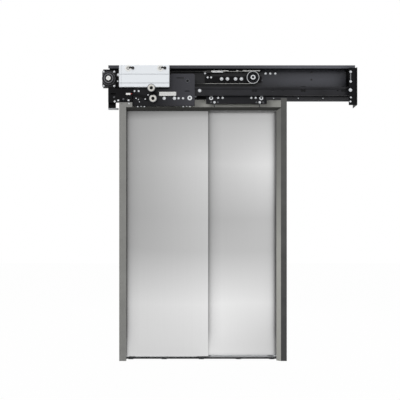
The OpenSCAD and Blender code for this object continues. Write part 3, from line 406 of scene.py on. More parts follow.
# Painted shade: the grooves of the controller's case are drawn in this darker metal.
groove_shade_metal = bare_metal("anodised_groove_painted_shade", "#b4b8bc", "#c2c6ca", 0.50, EXTRUDED)
motor_rim = bare_metal("worn_motor_rim", "#5a5a5e", "#8e8e92", 0.38, TURNED)
ring_metal = bare_metal("release_ring_steel", "#c4c2bc", "#dddbd5", 0.30)

# %% [markdown]
# Rollers are cast nylon, guide shoes a grey polymer, stop buffers rubber, and the housings and
# plugs are moulded. A mould leaves a fine spark-eroded grain, drawn 0.5 to 0.8 mm wide so that it
# shows. All these have an IOR of about 1.5, as the default is. Roughness runs from 0.34 for smooth
# plastic to 0.62 for rubber, which is why rubber looks matt beside the others. Nylon lets a little
# light in, which softens its edges, so it gets a touch of subsurface.

# %% Plastics and rubber
COARSE_GRAIN, FINE_GRAIN = 0.8 * MM, 0.5 * MM
GRAIN_DEPTH = 0.05 * MM
LIGHT_REACH = 2 * MM


def moulded(name, dark, light, roughness, grain=COARSE_GRAIN, inside=0.0):
    material, tree, shader = start(name, 0.0, roughness)
    skin = add(tree, "TexNoise", {"Vector": places(tree), "Scale": 1 / grain, "Detail": 3.0})["Fac"]
    colour = add(tree, "ValToRGB", {"Fac": skin}, [(0.2, dark), (0.8, light)])
    bump = add(tree, "Bump", {"Height": skin, "Strength": 0.15, "Distance": GRAIN_DEPTH})
    wire(tree, shader, {"Base Color": colour["Color"], "Normal": bump["Normal"]})
    if inside:
        wire(tree, shader, {"Subsurface Weight": inside, "Subsurface Scale": LIGHT_REACH})
    return material


nylon = moulded("cast_nylon", "#c9c2ae", "#dad4c3", 0.40, inside=0.15)
grey_polymer = moulded("grey_shoe_polymer", "#9b9c9e", "#adaeb0", 0.48)
buffer_rubber = moulded("buffer_rubber", "#151516", "#212122", 0.62, FINE_GRAIN)
belt_white = moulded("white_polyurethane", "#e4e4e1", "#f2f2f0", 0.34, FINE_GRAIN)
pale_plastic = moulded("pale_housing_plastic", "#d3d3d1", "#e2e2e0", 0.44)
white_plastic = moulded("white_connector_plastic", "#e2e2de", "#f0f0ee", 0.38)
red_plastic = moulded("red_tip_plastic", "#a0221c", "#c03028", 0.36)
black_plastic = moulded("black_knob_plastic", "#0c0c0d", "#151516", 0.34)

# %% [markdown]
# Each CAD part now gets its finish. The table goes from finish to part names, so that a part that
# is forgotten shows up at once when the two lists are compared.

# %% Finishes for the CAD parts
FINISHES = {
    header_coat: ["header_channel"],
    black_coat: ["left_post", "right_end_bracket", "track_brackets", "motor_bracket",
                 "idler_bracket", "lock_keeper", "lock_base", "lock_hook", "drive_arm"],
    rail_coat: ["front_rail"],
    fast_hanger_coat: ["fast_hanger"],
    slow_hanger_coat: ["slow_hanger"],
    track_coat: ["fast_track", "slow_track"],
    left_grey: ["left_jamb", "corner_gusset"],
    head_painted_light: ["rear_transom"],
    soffit_painted_shade: ["frame_head"],
    right_jamb_painted_light: ["right_jamb"],
    motor_coat: ["motor_body"],
    sill_metal: ["sill"],
    galvanised: ["fast_panel_frame", "slow_panel_frame", "left_post_foot", "sill_brackets"],
    zinc: ["header_bolts", "fast_bolts", "slow_bolts", "belt_clamp"],
    dull_zinc: ["rope_anchor", "fast_rope_clamp", "relative_rope"],
    bearing: ["fast_counter_left", "fast_counter_right", "slow_counter_left",
              "slow_counter_right"],
    turned: ["rope_pulley_left", "rope_pulley_right"],
    dark_pulley: ["drive_pulley", "idler_pulley"],
    ring_metal: ["release_roller_upper", "release_roller_lower"],
    anodised: ["controller_case", "controller_fixings"],
    nylon: ["fast_roller_left", "fast_roller_right", "slow_roller_left", "slow_roller_right"],
    grey_polymer: ["fast_guide_shoes", "slow_guide_shoes"],
    buffer_rubber: ["stop_buffers"],
    belt_polymer: ["drive_belt"],
    pale_plastic: ["contact_housing"],
    fast_steel: ["fast_panel"],
    slow_steel: ["slow_panel"],
}
dressed = set()
for finish, names in FINISHES.items():
    for name in names:
        for material_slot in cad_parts[name].material_slots:
            material_slot.material = finish
        dressed.add(name)
print("left bare:", sorted(set(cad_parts) - dressed))

# %% [markdown]
# Some pieces are made here, because sheet-metal bends, belt teeth and bearing shields are finer
# than the CAD needs. Two helpers do most of it, both in millimetres. One pushes a closed outline
# along an axis, as an extrusion press does. The other turns a profile round an axis, as a lathe
# does: each point of the profile is a radius and a depth along that axis.

# %% Pressing and turning shapes
def extrude(shape, outline, axis, low, high):
    at = "XYZ".index(axis)
    spots = [[(*spot[:at], level, *spot[at:]) for spot in outline] for level in (low, high)]
    ends = [[shape.verts.new([c * MM for c in spot]) for spot in row] for row in spots]
    count = len(outline)
    for k in range(count):
        near = (k + 1) % count
        shape.faces.new((ends[0][k], ends[0][near], ends[1][near], ends[1][k]))
    shape.faces.new(ends[0][::-1])
    shape.faces.new(ends[1])


def lathe(shape, centre, profile, steps=48, axis="Y"):
    x, y, z = centre
    rows = []
    for k in range(steps):
        u, v = math.cos(2 * math.pi * k / steps), math.sin(2 * math.pi * k / steps)
        spots = [(x + r * u, y + d, z + r * v) if axis == "Y" else (x + r * u, y + r * v, z + d)
                 for r, d in profile]
        rows.append([shape.verts.new([c * MM for c in spot]) for spot in spots])
    for k in range(steps):
        here, near = rows[k], rows[(k + 1) % steps]
        for j, after in enumerate([*range(1, len(profile)), 0]):
            if profile[j][0] or profile[after][0]:
                shape.faces.new((here[j], near[j], near[after], here[after]))


def oblong(left, right, bottom, top):
    return [(left, bottom), (right, bottom), (right, top), (left, top)]


# %% [markdown]
# One more helper turns a shape into a piece: it closes the seams, gives the finish, smooths the
# shading up to a crease angle, and says which body carries the piece and which CAD parts it
# stands for. Another repeats a shape at many places, as a single piece.

# %% Making pieces
SEAM = 0.001 * MM
CREASE = 30


def make_piece(name, build, finish, body, stands_for=(), crease=CREASE):
    shape = bmesh.new()
    build(shape)
    bmesh.ops.remove_doubles(shape, verts=shape.verts, dist=SEAM)
    bmesh.ops.recalc_face_normals(shape, faces=shape.faces)
    mesh = bpy.data.meshes.new(name)
    shape.to_mesh(mesh)
    shape.free()
    mesh.materials.append(finish)
    piece = bpy.data.objects.new(name, mesh)
    bpy.context.scene.collection.objects.link(piece)
    if crease:
        mesh.shade_smooth()
        mesh.set_sharp_from_angle(angle=math.radians(crease))
    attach(piece, body)
    if stands_for:
        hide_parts(*stands_for)
    print(name, len(mesh.polygons), "faces, rides", body)


def place_all(make, spots):
    return lambda shape: [make(shape, *spot) for spot in spots]


def box_of(node):
    low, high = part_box(node)
    return [c / MM for c in low], [c / MM for c in high]


# %% [markdown]
# A door panel is one sheet of 1.5 mm stainless steel with both sides folded back and hemmed. A
# press brake can't fold a sharp corner: the outside of each bend has a radius of about 2.5 mm.
# That radius is what draws the thin bright line down a panel's edge, so the skin is made here
# with real bends.

# %% Folded panel skins
SHEET = 1.5
BEND = 2.5
HEM = 16
BEND_STEPS = 6


def heading(here, there):
    return (Vector(there) - Vector(here)).normalized()


def across_sheet(end, neighbour, inside):
    way = heading(end, neighbour)
    side = Vector((-way.y, way.x)) * SHEET
    if (Vector(inside) - Vector(end)).dot(side) < 0:
        side = -side
    return tuple(Vector(end) + side)


def folded(path):
    outer, inner = [path[0]], []
    for before, corner, after in zip(path, path[1:], path[2:]):
        came, goes = heading(before, corner), heading(corner, after)
        middle = Vector(corner) - came * BEND + goes * BEND
        for k in range(BEND_STEPS + 1):
            turn = math.pi / 2 * k / BEND_STEPS
            arm = came * math.sin(turn) - goes * math.cos(turn)
            outer.append(tuple(middle + arm * BEND))
            inner.append(tuple(middle + arm * (BEND - SHEET)))
    outer.append(path[-1])
    inner.insert(0, across_sheet(path[0], path[1], inner[0]))
    inner.append(across_sheet(path[-1], path[-2], inner[-1]))
    return outer + inner[::-1]


for body, finish in (("fast", fast_steel), ("slow", slow_steel)):
    node = body + "_panel"
    (x0, y0, z0), (x1, y1, z1) = box_of(node)
    outline = folded([(x0 + HEM, y1), (x0, y1), (x0, y0), (x1, y0), (x1, y1), (x1 - HEM, y1)])
    make_piece(node + "_skin", place_all(extrude, [(outline, "Z", z0, z1)]), finish, body,
               (node,))

# %% [markdown]
# The drive belt is polyurethane with teeth moulded on its inner face, 5 mm from one to the next.
# A point on it is given by how far along the loop it lies and how far out from the pulleys'
# centres, so teeth come from stepping along the loop and moving in and out.

# %% The belt's line
BELT_THICK = 3
BELT_HALF = 5
pulley_low, pulley_high = box_of("drive_pulley")
idler_low, idler_high = box_of("idler_pulley")
drive_x, belt_y, drive_z = ((a + b) / 2 for a, b in zip(pulley_low, pulley_high))
idler_x = (idler_low[0] + idler_high[0]) / 2
belt_out = drive_x - box_of("drive_belt")[0][0]
belt_in = belt_out - BELT_THICK
span_length = idler_x - drive_x
loop_length = 2 * span_length + 2 * math.pi * belt_in
print("belt", round(loop_length), "mm, radius", round(belt_out, 1))


def belt_point(travel, out):
    arc = math.pi * belt_in
    if travel < span_length:
        return drive_x + travel, drive_z + out
    travel -= span_length
    if travel < arc:
        turn = travel / belt_in
        return idler_x + out * math.sin(turn), drive_z + out * math.cos(turn)
    travel -= arc
    if travel < span_length:
        return idler_x - travel, drive_z - out
    turn = (travel - span_length) / belt_in
    return drive_x - out * math.sin(turn), drive_z - out * math.cos(turn)


# %% [markdown]
# Each tooth is a valley and a crest with sloping flanks between them, given as shares of one
# pitch. The belt is then four lines of points, inside and outside at its two edges, joined by
# faces all the way round.

# %% Toothed belt
TOOTH_PITCH = 5
TOOTH_TALL = 1.3
VALLEY, CREST = (0.0, 0.42), (0.55, 0.87)


def toothed_belt(shape):
    teeth = round(loop_length / TOOTH_PITCH)
    step = loop_length / teeth
    tooth = [(share, belt_in) for share in VALLEY]
    tooth += [(share, belt_in + TOOTH_TALL) for share in CREST]
    marks = [((k + share) * step, out) for k in range(teeth) for share, out in tooth]
    lines = []
    for y in (belt_y - BELT_HALF, belt_y + BELT_HALF):
        for outside in (False, True):
            lines.append([])
            for travel, out in marks:
                x, z = belt_point(travel, belt_out if outside else out)
                lines[-1].append(shape.verts.new((x * MM, y * MM, z * MM)))
    for k in range(len(marks)):
        near = (k + 1) % len(marks)
        for a, b in ((0, 1), (1, 3), (3, 2), (2, 0)):
            shape.faces.new((lines[a][k], lines[a][near], lines[b][near], lines[b][k]))


make_piece("toothed_belt", toothed_belt, belt_polymer, "root", ("drive_belt",))

# %% [markdown]
# The belt's two ends meet in a clamp on the upper run: two zinc-plated plates pulled together by
# four screws. The upper one carries a row of teeth, so from the front its edge looks like a saw.

# %% Belt joint
JOINT_START, JOINT_END = idler_x - 332, idler_x - 244
SAW = 5
SAW_LOW, SAW_HIGH = 5.5, 8
LOWER_DROP, LOWER_PLATE = 8, 7.6
JOINT_SCREW, FIRST_SCREW, SCREW_STEP = 3, 14, 20
belt_top = drive_z + belt_out
joint_reach = (belt_y - BELT_HALF - 3, belt_y + BELT_HALF + 3)


def joint_plates(shape):
    count = int((JOINT_END - JOINT_START) / SAW)
    saw = []
    for k in range(count):
        x = JOINT_START + k * SAW
        saw += [(x, belt_top + SAW_LOW), (x + SAW * 0.45, belt_top + SAW_HIGH),
                (x + SAW * 0.9, belt_top + SAW_LOW)]
    foot = belt_top + 0.2
    extrude(shape, [(JOINT_START, foot), *saw, (JOINT_START + count * SAW, foot)], "Y",
            *joint_reach)
    low = belt_top - BELT_THICK - LOWER_DROP
    extrude(shape, oblong(JOINT_START, JOINT_END, low, low + LOWER_PLATE), "Y", *joint_reach)


def joint_screws(shape):
    for k in range(4):
        x = JOINT_START + FIRST_SCREW + SCREW_STEP * k
        head = [(x + JOINT_SCREW * math.cos(a * math.pi / 12),
                 belt_y + JOINT_SCREW * math.sin(a * math.pi / 12)) for a in range(24)]
        extrude(shape, head, "Z", belt_top + 6, belt_top + 10.8)


make_piece("belt_joint_plates", joint_plates, zinc, "root", ("drive_belt",))
make_piece("belt_joint_screws", joint_screws, zinc, "root", ("drive_belt",))

# %% [markdown]
# The motor's shaft ends in a light moulded hub with eight flats and a screw. Its cast face has two
# machined beads whose paint is worn, so they show as thin grey rings. The hub is turned in eight
# steps without smoothing, so that its flats stay flat.

# %% Motor hub and beads
HUB_DROP = 21
BEAD_STEPS = 72
motor_front = box_of("motor_body")[0][1]
hub_x, hub_z = drive_x, drive_z - HUB_DROP
hub_face = motor_front - 1.0
hub_profile = [(0, 0), (18, 0), (20.5, 2), (20.5, 6.9), (0, 6.9)]
hub_screw_profile = [(0, 1), (2.5, 1), (2.5, 0), (5.2, 0), (6, 0.8), (6, 1.5), (0, 1.5)]
beads = [((hub_x, motor_front + depth, hub_z),
          [(inner, 1), (inner + 1, 0), (outer - 1, 0), (outer, 1)], BEAD_STEPS)
         for inner, outer, depth in ((31, 38, 4.8), (50, 53.2, 13.0))]
make_piece("motor_hub", place_all(lathe, [((hub_x, hub_face, hub_z), hub_profile, 8)]),
           white_plastic, "root", crease=0)
make_piece("motor_hub_screw",
           place_all(lathe, [((hub_x, hub_face - 1.5, hub_z), hub_screw_profile)]), zinc, "root")
make_piece("motor_beads", place_all(lathe, beads), motor_rim, "root")

# %% [markdown]
# The controller's case is closed by end caps, and two shallow grooves and an upright seam run
# along its lid, drawn as strips of darker metal: painted shade in the grooves. Two pale discs on
# the lid each have a black cable knob, like two drops side by side: a small and a large turned
# button with a wedge between them.

# %% Controller case
DISC_IN, DISC_DOWN = 70, 26
CAP = 2.4
case_low, case_high = box_of("controller_case")
cap_low, cap_high = box_of("controller_fixings")
lid = case_low[1]
disc_z = case_high[2] - DISC_DOWN
disc_x = (case_low[0] + DISC_IN, case_high[0] - DISC_IN)
print("discs at", disc_x, round(disc_z))
cap = oblong(case_low[1] + 1, case_high[1] - 1, case_low[2] + 1, case_high[2] - 1)
caps = [(cap, "X", cap_low[0], cap_low[0] + CAP), (cap, "X", cap_high[0] - CAP, cap_high[0])]
disc_profile = [(0, -3), (23.5, -3), (25, -1.8), (25, -0.05), (0, -0.05)]
button_profile = [(0, -5), (6, -5), (7, -4), (7, -3), (0, -3)]
small_knob = [(0, -9), (5.5, -9), (7.5, -7), (7.5, -3), (0, -3)]
large_knob = [(0, -9), (9, -9), (11.5, -7), (11.5, -0.05), (0, -0.05)]


def case_knobs(shape):
    for x in disc_x:
        small, large = x + 17, x + 38
        lathe(shape, (small, lid, disc_z + 6), small_knob, 32)
        lathe(shape, (large, lid, disc_z + 2), large_knob, 32)
        wedge = [(small, disc_z + 1), (large, disc_z - 5), (large, disc_z + 9),
                 (small, disc_z + 12)]
        extrude(shape, wedge, "Y", lid - 7, lid - 3.2)


# Painted shade: darker strips where the lid's grooves and seam lie.
def case_groove_shades(shape):
    for z, tall in ((case_low[2] + 31, 4), (case_low[2] + 101, 2.6)):
        groove = oblong(case_low[0] + 1, case_high[0] - 1, z - tall / 2, z + tall / 2)
        extrude(shape, groove, "Y", lid - 0.15, lid + 0.6)
    seam = case_low[0] + 14
    extrude(shape, oblong(seam, seam + 1.6, case_low[2] + 1, case_high[2] - 1), "Y", lid - 0.1,
            lid + 0.6)


discs = [((x, lid, disc_z), profile) for x in disc_x for profile in (disc_profile, button_profile)]
for name, build, finish in (("case_caps", place_all(extrude, caps), anodised),
                            ("case_discs", place_all(lathe, discs), white_plastic),
                            ("case_knobs", case_knobs, black_plastic)):
    make_piece(name, build, finish, "root", ("controller_fixings",))
make_piece("case_groove_shades", case_groove_shades, groove_shade_metal, "root")

# %% [markdown]
# A door like this is held together by dozens of hexagon screws. Each is a chamfered six-sided head
# on a washer, turned on the lathe helper with six steps, and every measure is a share of one size.
# Socket screws and rings use the same idea.

# %% Screws and rings
HEX_CORNER = 0.924
HEAD_TALL, HEAD_CHAMFER, HEAD_FOOT = 0.8, 0.66, 0.15
WASHER_OUT, WASHER_TALL, WASHER_CHAMFER = 1.2, 0.17, 0.1


def screw(shape, x, z, y, size, washer=True):
    corner = size * HEX_CORNER
    if washer:
        profile = [(0, -WASHER_TALL), (1.12, -WASHER_TALL), (WASHER_OUT, -WASHER_CHAMFER),
                   (WASHER_OUT, 0), (0, 0)]
        lathe(shape, (x, y, z), [(r * size, d * size) for r, d in profile], 32)
    lathe(shape, (x, y, z), [(0, -HEAD_TALL * size), (corner * 0.8, -HEAD_TALL * size),
                             (corner, -HEAD_CHAMFER * size), (corner, -HEAD_FOOT * size),
                             (0, -HEAD_FOOT * size)], 6)


def socket(shape, x, z, y, radius, tall):
    lathe(shape, (x, y, z), [(0, -tall * 0.5), (radius * 0.5, -tall * 0.5), (radius * 0.5, -tall),
                             (radius * 0.88, -tall), (radius, -tall * 0.85), (radius, 0),
                             (0, 0)], 32)


def ring(shape, x, z, y, inner, outer, tall, edge=0.8):
    lathe(shape, (x, y, z), [(inner, -tall + edge), (inner + edge, -tall), (outer - edge, -tall),
                             (outer, -tall + edge), (outer, 0), (inner, 0)], 64)


# %% [markdown]
# One list for each finish holds where the fixed screws sit, so that they are one piece. A place is
# X, Z, the face that the screw sits on, and its size. The faces are named for what carries them.

# %% Screws that don't move
WEB_Y, PLATE_Y, MOTOR_PLATE_Y, MOTOR_Y = 118.2, 108.2, 83.2, 61.2
TRACK_Y, END_Y, RAIL_Y, KEEPER_Y = 45.2, -1, -1.9, 11.7
TRACK_Z = 2167
bracket_spots = [(middle + dx, TRACK_Z, TRACK_Y, 8)
                 for middle in (-630, -330, 428, 820, 1146) for dx in (-11, 11)]
header_spots = [(x, 2278, PLATE_Y, 12) for x in (165, 213, 279, 327)]
header_spots += [(x, 2290, PLATE_Y, 7) for x in (51, 80)]
header_spots += [(x, 2325, WEB_Y, 8) for x in (525, 564, 605)]
header_spots += [(-673, 2304, MOTOR_PLATE_Y, 11), (-679, 2253, MOTOR_PLATE_Y, 6),
                 (-14, TRACK_Z, TRACK_Y, 11.5)]
motor_spots = [(hub_x + dx, hub_z + dz, MOTOR_Y, 7.8) for dx in (-43.6, 44) for dz in (-57, 58)]
edge_spots = [(1190, 2305, END_Y, 8.4), (1190, 2228, END_Y, 8.4), (1188, 2160, END_Y, 11.5),
              (1192, 2101, END_Y, 6), (1188, 2068, END_Y, 6.4), (-578, 2052, 0, 5.4),
              (-693, 2072, KEEPER_Y, 6.6), (-664, 2080, KEEPER_Y, 6.4),
              (-582, 2081, KEEPER_Y, 6.6), (31, 2328, WEB_Y, 8)]
edge_spots += [(x, 2093.5, RAIL_Y, 4.0, False) for x in (575, 771, 968)]
dull_spots = [(-623, 2090, KEEPER_Y, 6.4), (-697, 2106, KEEPER_Y, 6.4), (478, 2268, WEB_Y, 5.5),
              (494, 2269, WEB_Y, 5), (96, 2262, WEB_Y, 5.5), (110, 2262, WEB_Y, 5)]
for name, spots, finish, stands_for in (
    ("header_screws", header_spots, zinc, ("header_bolts",)),
    ("bracket_screws", bracket_spots, black_oxide, ("header_bolts",)),
    ("edge_screws", motor_spots + edge_spots, zinc, ()),
    ("dull_screws", dull_spots, dull_zinc, ()),
):
    make_piece(name, place_all(screw, spots), finish, "root", stands_for)

# %% [markdown]
# Threaded studs with nuts hang the panels. A thread too fine to show is drawn with the real
# 1.25 mm pitch of an M8 stud anyway, because it is seen when the view comes close. The rollers
# turn on axles with a wide head.

# %% Studs, nuts and axles
STUD_RADIUS, THREAD_PITCH, THREAD_DEPTH = 4, 1.25, 0.5
STUD_BELOW, STUD_ABOVE = 9, 19
NUT_CORNER = 7.5
COLLAR, COLLAR_TALL = 8.4, 1.4
AXLE_RADIUS, AXLE_HEAD, AXLE_HEAD_TALL = 6, 9, 4


def stud(shape, x, y, low, high):
    turns = int((high - low) / THREAD_PITCH)
    profile = [(0, 0)]
    for k in range(turns):
        profile += [(STUD_RADIUS - THREAD_DEPTH, k * THREAD_PITCH),
                    (STUD_RADIUS, (k + 0.5) * THREAD_PITCH)]
    lathe(shape, (x, y, low), [*profile, (0, turns * THREAD_PITCH)], 20, "Z")


def nut(shape, x, y, low, tall, corner=NUT_CORNER):
    lathe(shape, (x, y, low), [(0, 0), (corner * 0.9, 0), (corner, 0.8), (corner, tall - 0.8),
                               (corner * 0.9, tall), (0, tall)], 6, "Z")


def hanger_studs(xs, y, panel_top, foot):
    def build(shape):
        for x in xs:
            stud(shape, x, y, panel_top - STUD_BELOW, foot + STUD_ABOVE)
            nut(shape, x, y, panel_top - STUD_BELOW, 7)
            nut(shape, x, y, foot - 6.5, 6.4)
            nut(shape, x, y, foot + 6.5, 6.5)
            collar = [(0, 0), (COLLAR, 0), (COLLAR, COLLAR_TALL), (0, COLLAR_TALL)]
            lathe(shape, (x, y, foot + 5.02), collar, 32, "Z")
    return build


def axle(shape, x, z, front, back):
    deep = back - front
    lathe(shape, (x, front, z), [(0, 0), (AXLE_HEAD, 0), (AXLE_HEAD, AXLE_HEAD_TALL),
                                 (AXLE_RADIUS, AXLE_HEAD_TALL), (AXLE_RADIUS, deep), (0, deep)],
          32)


# %% [markdown]
# From the front each axle ends in a ring: a bright one with a black socket screw at the
# counter-rollers, whose black also stands for the shade in the socket's hole as painted shade, and
# a dull one behind the hanger rollers. Each hanger has its own list of screws.
# The rivet on the lock's base is flush, because the hook sweeps over it when it falls shut.

# %% Places on the hangers
FAST_Y, SLOW_Y = 28.2, 65.2
LOCK_BASE_Y = FAST_Y - 3.5
FAST_STUDS, SLOW_STUDS = (-484, -119), (106, 472)
FAST_ROLLERS, SLOW_ROLLERS = (-493, -111), (131, 437)
FAST_COUNTERS, SLOW_COUNTERS = (-496, -93), (79, 484)
FAST_ROLLER_Z, SLOW_ROLLER_Z = 2240.3, 2165.3
FAST_COUNTER_Z, SLOW_COUNTER_Z, SLOW_RING_Z = 2102.7, 2113.7, 2110.5
FAST_ROW_Z, NUT_ROW_Z = 2100.7, 2077
fast_screws = [(x, FAST_ROW_Z, FAST_Y, size)
               for x, size in ((-298, 11), (-216, 11), (-183, 7.6), (-147, 7.6))]
fast_screws += [(-536, 2158.7, FAST_Y, 6.4), (-503, 2158.7, FAST_Y, 7), (-524, 2101, FAST_Y, 4.6),
                (-505, 2091, FAST_Y, 5), (-497, 2072, FAST_Y, 3.8), (-427, 2128, FAST_Y, 5.4)]
slow_screws = [(x, SLOW_COUNTER_Z, SLOW_Y, 7.6) for x in (136, 172, 404, 439)]
slow_screws += [(x, NUT_ROW_Z, SLOW_Y, 8.5) for x in SLOW_STUDS]
side_nuts = [(x + dx, NUT_ROW_Z, SLOW_Y, 6.5) for x in SLOW_STUDS for dx in (-27, 27)]
fast_rings = [(FAST_COUNTERS[1], FAST_COUNTER_Z, FAST_Y, 7, 19, 2.6)]
slow_rings = [(x, SLOW_RING_Z, SLOW_Y, 7, 16, 3.2) for x in SLOW_COUNTERS]
# Painted shade: the black of the counter sockets also stands for the shade in their holes.
fast_sockets = [(FAST_COUNTERS[1], FAST_COUNTER_Z, FAST_Y, 7, 3.2),
                (FAST_COUNTERS[0], FAST_COUNTER_Z, FAST_Y, 20, 3.7)]
fast_sockets += [(x, FAST_ROLLER_Z, FAST_Y, 8, 3.6) for x in FAST_ROLLERS]
# Painted shade: the black of the counter sockets also stands for the shade in their holes.
slow_sockets = [(x, SLOW_RING_Z, SLOW_Y, 7, 4.2) for x in SLOW_COUNTERS]
slow_sockets += [(x, SLOW_ROLLER_Z, SLOW_Y, 12, 2) for x in SLOW_ROLLERS]
circlips = [(FAST_ROLLERS[1], FAST_ROLLER_Z, FAST_Y, 11, 15, 2)]
print("fast screws", len(fast_screws), "slow screws", len(slow_screws) + len(side_nuts))

# %% [markdown]
# Each piece of fixings stands for the plain bolts of its hanger, and slides with it. A clip plate
# with two nuts holds the foot of each fast stud.

# %% Fixings of the hangers
def clip_nuts(shape):
    for x in FAST_STUDS:
        extrude(shape, oblong(x - 38, x + 38, 31, 40), "Z", 2027.5, 2029.5)
        for dx in (-27, 27):
            nut(shape, x + dx, 35, 2029.5, 8, 9)


hanger_pieces = [
    ("fast_screws", place_all(screw, fast_screws), zinc, "fast"),
    ("slow_screws", place_all(screw, slow_screws), zinc, "slow"),
    ("slow_side_nuts", place_all(screw, side_nuts), dull_zinc, "slow"),
    ("fast_axle_ring", place_all(ring, fast_rings), zinc, "fast"),
    ("slow_axle_rings", place_all(ring, slow_rings), zinc, "slow"),
    ("fast_sockets", place_all(socket, fast_sockets), black_oxide, "fast"),
    ("slow_sockets", place_all(socket, slow_sockets), black_oxide, "slow"),
    ("fast_rivet", place_all(socket, [(-450, 2094, LOCK_BASE_Y, 5.4, 0.45)]), zinc, "fast"),
    ("fast_circlips", place_all(ring, circlips), dull_zinc, "fast"),
    ("fast_studs", hanger_studs(FAST_STUDS, 41, 2026, 2041), zinc, "fast"),
    ("slow_studs", hanger_studs(SLOW_STUDS, 78, 2034, 2067), dull_zinc, "slow"),
    ("fast_clip_nuts", clip_nuts, zinc, "fast"),
]
for name, build, finish, body in hanger_pieces:
    make_piece(name, build, finish, body, (body + "_bolts",))
fast_axles = [(x, FAST_ROLLER_Z, FAST_Y + 4, 46) for x in FAST_ROLLERS]
fast_axles += [(x, FAST_COUNTER_Z, FAST_Y + 4, 46) for x in FAST_COUNTERS]
slow_axles = [(x, SLOW_ROLLER_Z, SLOW_Y + 4, 85) for x in SLOW_ROLLERS]
slow_axles += [(x, SLOW_COUNTER_Z, SLOW_Y + 4, 85) for x in SLOW_COUNTERS]
for body, spots in (("fast", fast_axles), ("slow", slow_axles)):
    make_piece(body + "_axles", place_all(axle, spots), bearing, body,
               (body + "_bolts",))

# %% [markdown]
# The release rollers are what the car's coupler grips. Each is a pale ring on a sealed bearing,
# whose dark shield and pin fill its middle. A greyer band slopes away outside the ring, and a thin
# dark lip stands behind it.

# %% Release rollers
SHIELD_OUT, RING_OUT, BAND_OUT, LIP_OUT = 12.9, 26.5, 30.6, 32
for node in ("release_roller_upper", "release_roller_lower"):
    low, high = box_of(node)
    centre = ((low[0] + high[0]) / 2, low[1], (low[2] + high[2]) / 2)
    deep = high[1] - low[1]
    parts = {
        "_ring": (ring_metal, [(13, 1.5), (15, 0), (25, 0), (RING_OUT, 0.8),
                               (RING_OUT, deep - 2), (13, deep - 2)], 72),
        "_band": (slot_steel, [(RING_OUT, 1), (BAND_OUT, 2.6), (BAND_OUT, deep - 2),
                               (RING_OUT, deep - 2)], 72),
        "_lip": (buffer_rubber, [(29, 3), (LIP_OUT, 3.5), (LIP_OUT, deep), (13, deep),
                                 (13, deep - 1.9), (29, deep - 1.9)], 72),
        "_shield": (black_oxide, [(5.2, 1), (7.5, 1), (7.5, 2.4), (SHIELD_OUT, 2.8),
                                  (SHIELD_OUT, deep - 1), (5.2, deep - 1)], 48),
    }
    for ending, (finish, profile, steps) in parts.items():
        make_piece(node + ending, place_all(lathe, [(centre, profile, steps)]), finish, node,
                   (node,))

# %% [markdown]
# The idler is a black pulley with a bright worn rim, and it turns on a fixed hub with eight flats.
# The post stands on a short foot of zinc-dipped sheet. A zinc strip closes the slot of the end
# bracket, and a white strip in three lengths along the belt's upper run is a painted highlight,
# where light falls on the belt's top.

# %% Idler, foot and strips
IDLER_X = 420
IDLER_FACE = belt_y - 7.2
FOOT_RIGHT, FOOT_TALL = -670, 11
BELT_HIGHLIGHT_Z = (2338.2, 2343.5)
rims = [(IDLER_X, drive_z, IDLER_FACE, 46.5, 50.8, 0.9, 0.3)]
idler_hub = [(10.5, -0.6), (11.5, -1.8), (19, -1.8), (21.5, 0), (21.5, 3), (10.5, 3)]
foot_low, foot_high = box_of("left_post_foot")
foot = (oblong(foot_low[0], FOOT_RIGHT, 54, 76), "Z", foot_high[2] - FOOT_TALL, foot_high[2])
slot_strips = [(oblong(1185.6, 1194.4, 2242, 2292), "Y", 1.1, 2.4)]
# Painted highlight: white strips on the belt's upper run.
belt_highlights = [(oblong(left, right, *BELT_HIGHLIGHT_Z), "Y", 93, 103)
          for left, right in ((164, 220), (284, 300), (337, 478))]
make_piece("idler_rim", place_all(ring, rims), turned, "idler_pulley")
make_piece("idler_hub", place_all(lathe, [((IDLER_X, 85.0, drive_z), idler_hub, 8)]), zinc,
           "root", crease=0)
make_piece("post_foot", place_all(extrude, [foot]), galvanised, "root",
           ("left_post_foot",))
make_piece("slot_strip", place_all(extrude, slot_strips), slot_steel, "root")
make_piece("belt_top_painted_highlight", place_all(extrude, belt_highlights), belt_white, "root")

# %% [markdown]
# Small moulded things finish the drive: a white plug with a red tip on the keeper, black plugs in
# a hanger hole and in the header's anchor holes, and a black clamp block beside the belt with a
# row of white teeth. A moulded block has round corners and an edge that steps in.

# %% Plugs and clamp block
CORNER_STEPS = 8
MOULD_STEP = 1.2


def round_cornered(cx, cz, half_x, half_z, radius):
    outline = []
    for sx, sz, first in ((1, 1, 0), (-1, 1, 90), (-1, -1, 180), (1, -1, 270)):
        for k in range(CORNER_STEPS + 1):
            turn = math.radians(first + 90 * k / CORNER_STEPS)
            outline.append((cx + sx * (half_x - radius) + radius * math.cos(turn),
                            cz + sz * (half_z - radius) + radius * math.sin(turn)))
    return outline


def moulded_block(shape, cx, cz, half_x, half_z, radius, front, back):
    step = front + MOULD_STEP
    inner = [size - MOULD_STEP for size in (half_x, half_z, radius)]
    extrude(shape, round_cornered(cx, cz, half_x, half_z, radius), "Y", step, back)
    extrude(shape, round_cornered(cx, cz, *inner), "Y", front, step)


